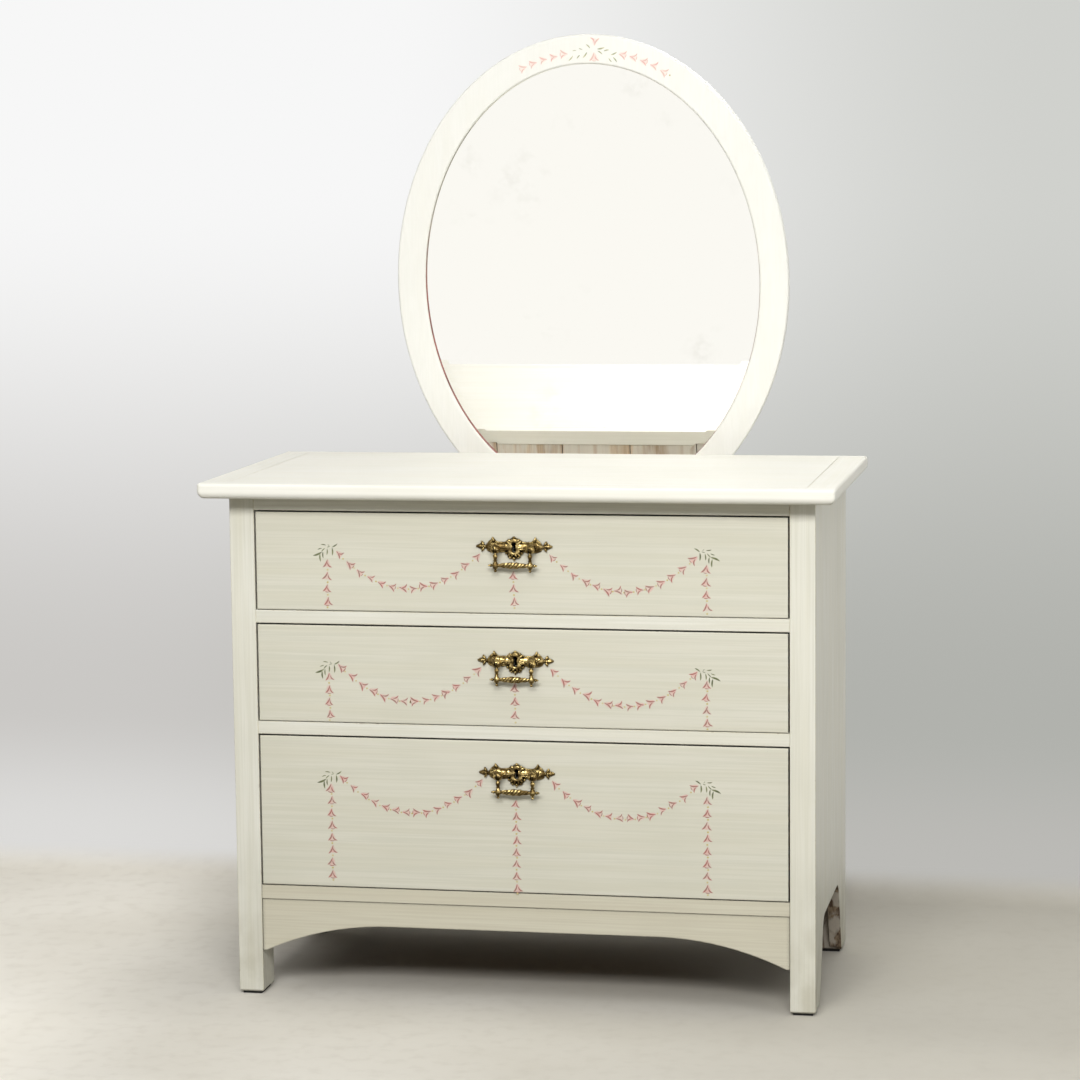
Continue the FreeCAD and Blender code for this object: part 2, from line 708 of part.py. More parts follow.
def build_lock(tag, label, key_z, front_top, case):
    """The lock case let into the back of the drawer front, and the bolt that slides up in it."""
    bolt_y = "(front_thick - lock_depth + (lock_depth - bolt_thick) / 2)"
    bolt_low = f"({front_top} - bolt_inset - bolt_height)"
    slot = box(tag + "BoltSlot", "key_offset - bolt_width / 2 - slide_clearance",
               f"{bolt_y} - slide_clearance", f"{bolt_low} - slide_clearance",
               "bolt_width + 2 * slide_clearance", "bolt_thick + 2 * slide_clearance",
               "bolt_height + bolt_inset + slide_clearance")
    cavity = cylinder(tag + "KeyCavity", ALONG_Y, "key_offset", f"{bolt_y} - slide_clearance",
                      f"{key_z} + key_hole_height / 2 - key_hole_radius", "key_cavity_radius",
                      "bolt_thick + 2 * slide_clearance")
    mouth = key_cutter(tag + "Lock", key_z, "front_thick - lock_depth", "lock_depth / 2")
    node(cut(tag + "LockCase", case, [slot, fuse(tag + "KeyWay", [cavity, mouth])]),
         label + "_lock_case")
    node(box(tag + "LockBolt", "key_offset - bolt_width / 2", bolt_y, bolt_low, "bolt_width",
             "bolt_thick", "bolt_height"), label + "_lock_bolt")


# ---------------------------------------------------------------- handles

def plate_outline():
    """Half of the cast plate's outline, from its top centre round to its bottom centre.

    Each point is a place along the plate and a height above the keyhole's centre, both as shares
    of the plate's half length.
    """
    half = size("plate_length") / 2
    profile = [
        (0.00, 0.298), (0.06, 0.284), (0.09, 0.239), (0.17, 0.174), (0.23, 0.144), (0.42, 0.139),
        (0.47, 0.177), (0.52, 0.210), (0.555, 0.252), (0.60, 0.200), (0.68, 0.145), (0.74, 0.074),
        (0.79, 0.081), (0.83, 0.142), (0.88, 0.123), (0.94, 0.081), (1.00, 0.019), (0.94, -0.042),
        (0.87, -0.090), (0.81, -0.081), (0.74, -0.045), (0.70, -0.106), (0.60, -0.152),
        (0.48, -0.158), (0.40, -0.135), (0.25, -0.132), (0.22, -0.168), (0.16, -0.232),
        (0.08, -0.300), (0.00, -0.326),
    ]
    return [(along * half, height * half) for along, height in profile]


def post_centre(sign):
    """Where a knob's axis stands across the drawer."""
    return f"({sign} * post_spacing / 2 + key_offset)"


def build_handle(name, key_z):
    """A cast plate round the keyhole, two slotted knobs on threaded shanks, and a drop bail."""
    tag = f"Handle{name}"
    label = f"handle_{name}"
    right = plate_outline()
    left = [(-x, z) for x, z in reversed(right[1:-1])]
    body = DOC.addObject("PartDesign::Body", tag + "PlateBody")
    plane = [item for item in body.Origin.OriginFeatures if item.Role == "XZ_Plane"][0]
    sketch = body.newObject("Sketcher::SketchObject", tag + "Outline")
    sketch.AttachmentSupport = (plane, "")
    sketch.MapMode = "FlatFace"
    ring = right + left
    for number, (start, end) in enumerate(zip(ring, ring[1:] + ring[:1])):
        sketch.addGeometry(Part.LineSegment(FreeCAD.Vector(*start, 0), FreeCAD.Vector(*end, 0)))
        if number:
            sketch.addConstraint(Sketcher.Constraint("Coincident", number - 1, 2, number, 1))
    sketch.addConstraint(Sketcher.Constraint("Coincident", len(ring) - 1, 2, 0, 1))
    pad = body.newObject("PartDesign::Pad", tag + "PlateThickness")
    pad.Profile = sketch
    bind(pad, {"Length": "plate_thick"})
    DOC.recompute()
    place(body, "key_offset", "0", key_z)

    post_z = f"({key_z} - post_drop)"
    bores = [cylinder(f"{tag}PlateBore_{side}", ALONG_Y, post_centre(sign), "-plate_thick",
                      post_z, "shank_radius", "plate_thick")
             for side, sign in SIDES]
    hole = key_cutter(tag + "Plate", key_z, "-plate_thick", "plate_thick")
    node(cut(tag + "Plate", body, bores + [hole]), label + "_plate")

    posts = []
    for side, sign in SIDES:
        centre = post_centre(sign)
        knob = sphere(f"{tag}Knob_{side}", centre, "-post_reach", post_z, "knob_radius")
        neck_end = "(front_thick + nut_thick + nut_thick / 2)"
        shank = cylinder(f"{tag}Shank_{side}", ALONG_Y, centre, "-post_reach", post_z,
                         "shank_radius", f"post_reach + {neck_end}")
        collar = cylinder(f"{tag}Collar_{side}", ALONG_Y, centre, "-post_reach", post_z,
                          "collar_radius", "post_reach - plate_thick")
        slot = box(f"{tag}Slot_{side}", f"{centre} - knob_slot / 2",
                   "-post_reach - knob_radius - plate_thick", f"{post_z} - knob_radius",
                   "knob_slot", "knob_radius + plate_thick + bail_arm_radius + slide_clearance",
                   "knob_radius + bail_arm_radius + slide_clearance")
        pin_bore = cylinder(f"{tag}PinBore_{side}", ALONG_X, f"{centre} - knob_radius", "-post_reach",
                            post_z, "pin_radius + pin_clearance", "2 * knob_radius")
        solid = fuse(f"{tag}PostBlank_{side}", [knob, shank, collar])
        posts.append(cut(f"{tag}Post_{side}", solid, [fuse(f"{tag}PostCut_{side}", [slot, pin_bore])]))
        nut = cylinder(f"{tag}NutBlank_{side}", ALONG_Y, centre, "front_thick", post_z,
                       "nut_radius", "nut_thick")
        posts.append(cut(f"{tag}Nut_{side}", nut, [shank]))
    node(group(tag + "Posts", posts), label + "_posts")

    bar_z = f"({post_z} - bail_drop)"
    pieces = [cylinder(f"{tag}Bar", ALONG_X, "key_offset - post_spacing / 2", "-post_reach", bar_z,
                       "bail_bar_radius", "post_spacing")]
    for side, sign in SIDES:
        centre = post_centre(sign)
        outer = centre if sign > 0 else f"{centre} - bail_finial_reach"
        pieces += [
            cylinder(f"{tag}Arm_{side}", UPRIGHT, centre, "-post_reach", bar_z, "bail_arm_radius",
                     "bail_drop"),
            sphere(f"{tag}ArmHead_{side}", centre, "-post_reach", post_z, "bail_arm_radius"),
            sphere(f"{tag}Urn_{side}", centre, "-post_reach", bar_z, "bail_urn_radius"),
            cylinder(f"{tag}SideFinial_{side}", ALONG_X, outer, "-post_reach", bar_z,
                     "bail_finial_radius", "bail_finial_reach"),
            sphere(f"{tag}SideTip_{side}", f"{centre} + {sign} * bail_finial_reach", "-post_reach",
                   bar_z, "bail_tip_radius"),
            cylinder(f"{tag}LowFinial_{side}", UPRIGHT, centre, "-post_reach",
                     f"{bar_z} - bail_low_reach", "bail_finial_radius", "bail_low_reach"),
            sphere(f"{tag}LowTip_{side}", centre, "-post_reach", f"{bar_z} - bail_low_reach",
                   "bail_tip_radius"),
            cylinder(f"{tag}Pin_{side}", ALONG_X, f"{centre} - pin_length / 2", "-post_reach", post_z,
                     "pin_radius", "pin_length"),
        ]
    node(fuse(tag + "Bail", pieces), label + "_bail")


# ---------------------------------------------------------------- mirror

def oval(name, half_width, half_height, y, thick):
    """An upright elliptical disc in the mirror's own frame."""
    rim = DOC.addObject("Part::Ellipse", name + "_rim")
    bind(rim, {"MajorRadius": half_height, "MinorRadius": half_width})
    place(rim, "0", y, "0", OVAL_TURN, local=True)
    disc = DOC.addObject("Part::Extrusion", name)
    disc.Base = rim
    disc.DirMode = "Custom"
    disc.Dir = FreeCAD.Vector(0, 1, 0)
    disc.Solid = True
    bind(disc, {"LengthFwd": thick})
    return disc


def lean(item):
    """Set a piece made in the mirror's own frame at the mirror's place and lean."""
    item.Placement = FreeCAD.Placement(
        FreeCAD.Vector(), FreeCAD.Rotation(FreeCAD.Vector(1, 0, 0), size("mirror_lean")))
    bind(item, {"Placement.Base.x": "mirror_offset", "Placement.Base.y": "front_y + mirror_y",
                "Placement.Base.z": "mirror_z", "Placement.Rotation.Angle": "mirror_lean"})
    return item


def build_mirror():
    """The oval frame with its bevelled glass, backboard, clips and the batten that carries it."""
    front = "(backboard_thick - mirror_frame_thick)"
    sight_w = "(mirror_half_width - mirror_frame_width)"
    sight_h = "(mirror_half_height - mirror_frame_width)"
    outer = oval("FrameOuter", "mirror_half_width", "mirror_half_height", front, "mirror_frame_thick")
    sight = oval("FrameSight", sight_w, sight_h, front, "mirror_frame_thick")
    rabbet = oval("FrameRabbet", "rabbet_half_width", "rabbet_half_height", "-glass_thick",
                  "glass_thick + backboard_thick")
    ring = cut("FrameRing", outer, [fuse("FrameOpening", [sight, rabbet])])
    front_face = size("backboard_thick") - size("mirror_frame_thick")
    eased = ease("FrameEased", "Part::Fillet", ring, size("mirror_frame_edge"),
                 lambda edge: near(edge.BoundBox.YMax, front_face))
    node(lean(group("MirrorFrame", [eased])), "mirror_frame")

    glass_w, glass_h = "(rabbet_half_width - glass_fit)", "(rabbet_half_height - glass_fit)"
    plate = oval("GlassPlate", glass_w, glass_h, "bevel_depth - glass_thick",
                 "glass_thick - bevel_depth")
    rims = []
    for name, inset, y in (("GlassRimBack", "0", "bevel_depth - glass_thick"),
                           ("GlassRimFront", "(mirror_rabbet + bevel_width)", "-glass_thick")):
        rim = DOC.addObject("Part::Ellipse", name)
        bind(rim, {"MajorRadius": f"{glass_h} - {inset}", "MinorRadius": f"{glass_w} - {inset}"})
        place(rim, "0", y, "0", OVAL_TURN, local=True)
        rims.append(rim)
    bevel = DOC.addObject("Part::Loft", "GlassBevel")
    bevel.Sections = rims
    bevel.Solid = True
    bevel.Ruled = True
    node(lean(fuse("MirrorGlass", [plate, bevel])), "mirror_glass")
    node(lean(group("MirrorBackboard", [
        oval("BackboardDisc", glass_w, glass_h, "0", "backboard_thick")])), "mirror_backboard")

    clips = []
    for number, angle in enumerate(CLIP_ANGLES):
        turn = FreeCAD.Rotation(FreeCAD.Vector(0, 1, 0), -angle)
        across, up = math.cos(math.radians(angle)), math.sin(math.radians(angle))
        start = "clip_length / 2 + clip_screw_radius"
        # The clip straddles the rabbet's edge, where the ray at this angle meets it.
        ray = f"(1 / sqrt(({across} / rabbet_half_width) ^ 2 + ({up} / rabbet_half_height) ^ 2))"
        begin = f"({ray} - {start})"
        strip = box(f"ClipStrip_{number}", f"{begin} * {across} + clip_width / 2 * {up}",
                    "backboard_thick", f"{begin} * {up} - clip_width / 2 * {across}",
                    "clip_length", "clip_thick", "clip_width", local=True)
        strip.Placement = FreeCAD.Placement(strip.Placement.Base, turn)
        screw = sphere(f"ClipScrew_{number}", f"({ray} + clip_screw_radius) * {across}",
                       "backboard_thick + clip_thick", f"({ray} + clip_screw_radius) * {up}",
                       "clip_screw_radius", local=True)
        trim = box(f"ClipScrewTrim_{number}", "-mirror_half_width", "backboard_thick - clip_screw_radius",
                   "-mirror_half_height", "2 * mirror_half_width", "clip_thick + clip_screw_radius",
                   "2 * mirror_half_height", local=True)
        clips.append(fuse(f"Clip_{number}", [strip, cut(f"ClipHead_{number}", screw, [trim])]))
    node(lean(group("MirrorClips", clips)), "mirror_clips")

    batten = box("BattenBar", "-mirror_half_width + batten_end", "backboard_thick",
                 "-batten_height / 2", "2 * mirror_half_width - 2 * batten_end", "batten_thick",
                 "batten_height", local=True)
    node(lean(group("MirrorBatten", [batten])), "mirror_batten")

    lugs = []
    base_y = "(backboard_thick + batten_thick)"
    for side, sign in SIDES:
        # Both ears stand on the outer side of the pivot's centre line, the lug's ear nearer to it.
        ear_x = f"{sign} * (stand_post_spacing / 2 - ear_thick / 2) - ear_thick / 2"
        base = box(f"LugBase_{side}", f"{sign} * stand_post_spacing / 2 - lug_width / 2", base_y,
                   "-lug_height / 2", "lug_width", "lug_thick", "lug_height", local=True)
        web = box(f"LugWeb_{side}", ear_x, base_y, "-ear_radius", "ear_thick",
                  "lug_thick + pivot_reach", "2 * ear_radius", local=True)
        eye = cylinder(f"LugEye_{side}", ALONG_X, ear_x, "pivot_local", "0", "ear_radius",
                       "ear_thick", local=True)
        bore = cylinder(f"LugBore_{side}", ALONG_X, ear_x, "pivot_local", "0",
                        "tilt_bolt_radius + tilt_fit", "ear_thick", local=True)
        lugs.append(cut(f"Lug_{side}", fuse(f"LugBlank_{side}", [base, web, eye]), [bore]))
    node(lean(group("MirrorLugs", lugs)), "mirror_lugs")


# ---------------------------------------------------------------- mirror stand

def stand_bolt_places():
    """Name, x and z of the four long bolts that hold the stand to the back rails."""
    return [(f"{side}_{level}", f"(mirror_offset + {sign} * stand_post_spacing / 2)", height)
            for side, sign in SIDES
            for level, height in (("upper", "spacer_upper"), ("lower", "spacer_lower"))]


def stand_bolt_bores():
    """The bores of the stand's bolts through posts, spacers, boards and rails."""
    if DOC.getObject("StandBore_left_upper"):
        return [DOC.getObject(f"StandBore_{tag}") for tag, _, _ in stand_bolt_places()]
    return [cylinder(f"StandBore_{tag}", ALONG_Y, x, "back_rail_front", z, "stand_bolt_radius",
                     "stand_post_back - back_rail_front")
            for tag, x, z in stand_bolt_places()]


def build_stand():
    """Two upright posts held off the dresser's back by spacers, with the mirror's tilt brackets."""
    bores = stand_bolt_bores()
    spacers, brackets, tilt_bolts, bolts = [], [], [], []
    for side, sign in SIDES:
        centre = f"(mirror_offset + {sign} * stand_post_spacing / 2)"
        low_x = f"{centre} - stand_post_width / 2"
        post = box(f"StandPost_{side}", low_x, "stand_post_front", "stand_post_foot",
                   "stand_post_width", "stand_post_thick",
                   "pivot_z + stand_post_head - stand_post_foot")
        node(cut(f"StandPostBored_{side}", post, bores), f"mirror_post_{side}")
        for level in ("upper", "lower"):
            block = box(f"Spacer_{side}_{level}", low_x, "body_depth",
                        f"spacer_{level} - spacer_height / 2", "stand_post_width",
                        "stand_post_front - body_depth", "spacer_height")
            spacers.append(cut(f"SpacerBored_{side}_{level}", block, bores))

        ear_x = f"{centre} + ear_gap" if sign > 0 else f"{centre} - ear_gap - ear_thick"
        base = box(f"BracketBase_{side}", f"{centre} - lug_width / 2", "stand_post_front - lug_thick",
                   "pivot_z - lug_height / 2", "lug_width", "lug_thick", "lug_height")
        web = box(f"BracketWeb_{side}", ear_x, "pivot_y", "pivot_z - ear_radius", "ear_thick",
                  "stand_clearance", "2 * ear_radius")
        eye = cylinder(f"BracketEye_{side}", ALONG_X, ear_x, "pivot_y", "pivot_z", "ear_radius",
                       "ear_thick")
        shaft_x = f"{centre} - {sign} * (ear_thick + tilt_nut_thick + ear_gap)"
        shaft_length = "(2 * ear_thick + 2 * ear_gap + tilt_nut_thick + tilt_head_thick)"
        low_end = shaft_x if sign > 0 else f"{shaft_x} - {shaft_length}"
        shaft = cylinder(f"TiltShaft_{side}", ALONG_X, low_end, "pivot_y", "pivot_z",
                         "tilt_bolt_radius", shaft_length)
        brackets.append(cut(f"Bracket_{side}", fuse(f"BracketBlank_{side}", [base, web, eye]),
                            [shaft]))
        head_x = f"{centre} + ear_gap + ear_thick" if sign > 0 else (
            f"{centre} - ear_gap - ear_thick - tilt_head_thick")
        head = cylinder(f"TiltHead_{side}", ALONG_X, head_x, "pivot_y", "pivot_z",
                        "tilt_head_radius", "tilt_head_thick")
        nut_x = f"{centre} - ear_thick - ear_gap - tilt_nut_thick" if sign > 0 else (
            f"{centre} + ear_thick + ear_gap")
        nut = cylinder(f"TiltNut_{side}", ALONG_X, nut_x, "pivot_y", "pivot_z", "tilt_nut_radius",
                       "tilt_nut_thick")
        tilt_bolts.append(fuse(f"TiltBolt_{side}", [shaft, head, nut]))

    for tag, x, z in stand_bolt_places():
        end_y = "(back_rail_front - stand_nut_thick)"
        shank = cylinder(f"StandShank_{tag}", ALONG_Y, x, end_y, z, "stand_bolt_radius",
                         f"stand_post_back - {end_y}")
        head = cylinder(f"StandHead_{tag}", ALONG_Y, x, "stand_post_back", z, "stand_bolt_head",
                        "stand_bolt_head / 2")
        nut = cylinder(f"StandNut_{tag}", ALONG_Y, x, end_y, z, "stand_nut_radius", "stand_nut_thick")
        bolts.append(fuse(f"StandBolt_{tag}", [shank, head, nut]))
    node(group("Spacers", spacers), "stand_spacers")
    node(group("Brackets", brackets), "tilt_brackets")
    node(group("TiltBolts", tilt_bolts), "tilt_bolts")
    node(group("StandBolts", bolts), "stand_bolts")


# ---------------------------------------------------------------- build and export

def check():
    """Stop if an object failed or a sub-part's shape is missing or not valid."""
    for item in DOC.Objects:
        if {"Invalid", "Error"} & set(item.State):
            raise RuntimeError(f"{item.Name} failed: {item.State}")
    for item in NODES:
        if item.Shape.isNull() or not item.Shape.isValid() or not item.Shape.Solids:
            raise RuntimeError(f"{item.Label} has no valid shape")


def build():
    """Build every sub-part in the document."""
    build_top()
    front_tenons = build_front_rails() + build_apron()
    back_tenons = build_back()
    tongues = build_sides()
    build_legs(front_tenons, back_tenons, tongues)
    build_runners()
    build_glue_blocks()
    for drawer in DRAWERS:
        build_drawer(*drawer)
    build_mirror()
    build_stand()
    DOC.recompute()
    check()


def export():
    """Write each sub-part to its own STEP file."""
    os.makedirs("parts", exist_ok=True)
    for item in NODES:
        item.Shape.exportStep(f"parts/{item.Label}.step")
        print(f"{item.Label}: {len(item.Shape.Solids)} solid(s), {item.Shape.Volume / 1000:.1f} cm3")
    print(f"{len(NODES)} sub-parts")


build()
export()
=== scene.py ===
import logging
import math
import random
from dataclasses import dataclass, field
from enum import Enum
from typing import Sequence

import bpy
from mathutils import Matrix, Vector


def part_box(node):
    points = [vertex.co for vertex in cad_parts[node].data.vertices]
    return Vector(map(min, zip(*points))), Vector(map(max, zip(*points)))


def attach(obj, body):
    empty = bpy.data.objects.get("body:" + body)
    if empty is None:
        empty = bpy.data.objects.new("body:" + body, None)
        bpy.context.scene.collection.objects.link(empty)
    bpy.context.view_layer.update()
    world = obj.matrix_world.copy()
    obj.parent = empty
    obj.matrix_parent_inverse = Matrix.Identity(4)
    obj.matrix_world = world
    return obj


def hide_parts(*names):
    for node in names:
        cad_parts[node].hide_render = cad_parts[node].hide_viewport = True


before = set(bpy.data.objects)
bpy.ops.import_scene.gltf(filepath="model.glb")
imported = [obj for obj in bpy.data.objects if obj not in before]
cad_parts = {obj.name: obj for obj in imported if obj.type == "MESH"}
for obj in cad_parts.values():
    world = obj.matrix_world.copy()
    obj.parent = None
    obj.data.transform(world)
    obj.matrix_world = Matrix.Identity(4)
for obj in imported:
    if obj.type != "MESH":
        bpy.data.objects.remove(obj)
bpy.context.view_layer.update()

# A painted dresser with three drawers and an oval mirror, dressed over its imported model.
# Lengths are metres unless a name or docstring says millimetres, and angles are degrees.

LOG = logging.getLogger("dresser")
MM = 0.001

Pair = tuple[float, float]
Point = tuple[float, float, float]
Piece = bpy.types.Object
Socket = bpy.types.NodeSocket
Hue = bpy.types.NodeSocket | str


# ------------------------------------------------------------------ node graphs

def linear(hex_colour: str) -> tuple[float, float, float, float]:
    """Turn an sRGB hex colour into the linear colour that a shader needs.

    Args:
        hex_colour: a colour such as "#F4F1E6".

    Returns:
        Linear red, green, blue and an alpha of 1.
    """
    channels = [int(hex_colour[place:place + 2], 16) / 255 for place in (1, 3, 5)]
    red, green, blue = (value / 12.92 if value <= 0.04045 else ((value + 0.055) / 1.055) ** 2.4
                        for value in channels)
    return red, green, blue, 1.0


class Graph:
    """A node tree that is filled step by step. A hue is a socket or an sRGB hex colour."""

    def __init__(self, tree: bpy.types.NodeTree) -> None:
        """Empty the tree."""
        tree.nodes.clear()
        self.tree = tree

    def add_node(self, kind: str, inputs: dict | None = None, **settings: object
                 ) -> bpy.types.bpy_prop_collection:
        """Add a shader node with its settings, values and links.

        Args:
            kind: the node's type name after "ShaderNode", such as "TexNoise".
            inputs: socket names or numbers, each with a value, hex colour or feeding socket.
            settings: property names with their values.

        Returns:
            The new node's outputs.
        """
        node = self.tree.nodes.new("ShaderNode" + kind)
        for name, value in settings.items():
            setattr(node, name, value)
        for name, value in (inputs or {}).items():
            if isinstance(value, Socket):
                self.tree.links.new(value, node.inputs[name])
            else:
                node.inputs[name].default_value = (linear(value) if isinstance(value, str)
                                                   else value)
        return node.outputs

    def axes(self, place: str = "Object") -> bpy.types.bpy_prop_collection:
        """The X, Y and Z sockets of a texture coordinate."""
        return self.add_node("SeparateXYZ", {0: self.add_node("TexCoord")[place]})

    def mix(self, share: Socket | float, first: Hue, second: Hue) -> Socket:
        """Blend two colours, of which the share gives the second."""
        return self.add_node("Mix", {0: share, 6: first, 7: second}, data_type="RGBA")[2]

    def ranged(self, value: Socket, low: float, high: float, bottom: float = 0.0,
               top: float = 1.0) -> Socket:
        """Map a value from low and high to bottom and top, clamped and eased."""
        return self.add_node("MapRange", {0: value, 1: low, 2: high, 3: bottom, 4: top},
                             interpolation_type="SMOOTHSTEP")[0]

    def over(self, below: Hue, above: Hue, pattern: Socket, low: float, high: float,
             share: float = 1.0) -> Socket:
        """Lay up to a share of one colour over another, from a pattern's low to its high."""
        return self.mix(self.ranged(pattern, low, high, 0.0, share), below, above)

    def product(self, first: Socket, second: Socket | float, operation: str = "MULTIPLY"
                ) -> Socket:
        """Combine two values with one arithmetic operation, which multiplies if none is named."""
        return self.add_node("Math", {0: first, 1: second}, operation=operation)[0]

    def noise(self, sizes: Point | float, detail: float = 3.0, shift: float = 0.0,
              distortion: float = 0.0) -> Socket:
        """Noise in the object's own coordinates, stretched to a real size along each axis.

        Args:
            sizes: the pattern's size along X, Y and Z, or one size for all, in metres.
            detail: how many finer layers it has.
            shift: an offset that makes two patterns differ.
            distortion: how much the pattern wanders.

        Returns:
            The noise value's socket.
        """
        sizes = sizes if isinstance(sizes, tuple) else (sizes,) * 3
        mapping = self.add_node("Mapping", {
            "Vector": self.add_node("TexCoord")["Object"], "Location": (shift,) * 3,
            "Scale": tuple(1 / size for size in sizes)})
        return self.add_node("TexNoise", {"Vector": mapping[0], "Scale": 1.0, "Detail": detail,
                                          "Distortion": distortion})["Fac"]

    def softened(self, radius: float) -> Socket:
        """The surface's normal with its edges rounded to a radius in metres."""
        return self.add_node("Bevel", {"Radius": radius}, samples=4)[0]

    def edge_mask(self, rounded: Socket) -> Socket:
        """How near a point is to an edge: 0 on flat faces and 1 at an edge.

        Args:
            rounded: the normal that softened gives.

        Returns:
            The mask's socket.
        """
        normal = self.add_node("NewGeometry")["Normal"]
        facing = self.add_node("VectorMath", {0: rounded, 1: normal}, operation="DOT_PRODUCT")
        return self.ranged(facing["Value"], 0.995, 0.80)

    def bump(self, height: Socket, depth: float, strength: float = 0.5,
             normal: Socket | None = None) -> Socket:
        """Turn a height pattern into a normal.

        Args:
            height: the pattern's socket.
            depth: the relief's depth in metres.
            strength: how strongly it shows.
            normal: the normal that the relief lies on, where it isn't the surface's own.

        Returns:
            The normal's socket.
        """
        inputs = {"Height": height, "Distance": depth, "Strength": strength}
        return self.add_node("Bump", inputs | ({"Normal": normal} if normal else {}))[0]

    def shaded_and_grimed(self, colour: Hue, reach: float, shade_and_grime: str, open_share: float = 0.45,
               closed_share: float = 0.12, samples: int = 4) -> Socket:
        """Paint shade and grime: darken a colour where the surface lies in a recess.

        Args:
            colour: the clean colour.
            reach: how far a neighbouring surface counts, in metres.
            shade_and_grime: the colour of the painted shade and grime.
            open_share: how open to the air a point is where the darkening starts.
            closed_share: how open it is where the darkening covers all.
            samples: how finely the openness is felt out.

        Returns:
            The darkened colour's socket.
        """
        # Painted shade and grime: the less open a point is, the darker it gets.
        shade = self.add_node("AmbientOcclusion", {"Distance": reach}, samples=samples)
        return self.over(colour, shade_and_grime, shade["AO"], open_share, closed_share)

    def close(self, inputs: dict) -> None:
        """Close a material with a principled shader, by its sockets' values and links."""
        shader = self.add_node("BsdfPrincipled", inputs)
        self.add_node("OutputMaterial", {"Surface": shader[0]})


# ------------------------------------------------------------------ finishes

class Run(Enum):
    """The direction that brush strokes or wood fibres run in."""

    ALONG_X = 0
    ALONG_Y = 1
    ALONG_Z = 2

    def sizes(self, length: float, width: float) -> Point:
        """Pattern sizes along X, Y and Z for a stroke of one length and width."""
        return tuple(length if axis == self.value else width for axis in range(3))


@dataclass(frozen=True)
class Finish:
    """A finish with its material's name. Each kind lays its own nodes."""

    name: str

    def lay(self, graph: Graph) -> None:
        """Lay the material's nodes."""
        raise NotImplementedError

    def build(self) -> bpy.types.Material:
        """Make the finish's material.

        Returns:
            The material, with all its nodes.
        """
        material = bpy.data.materials.new(self.name)
        material.use_nodes = True
        self.lay(Graph(material.node_tree))
        return material


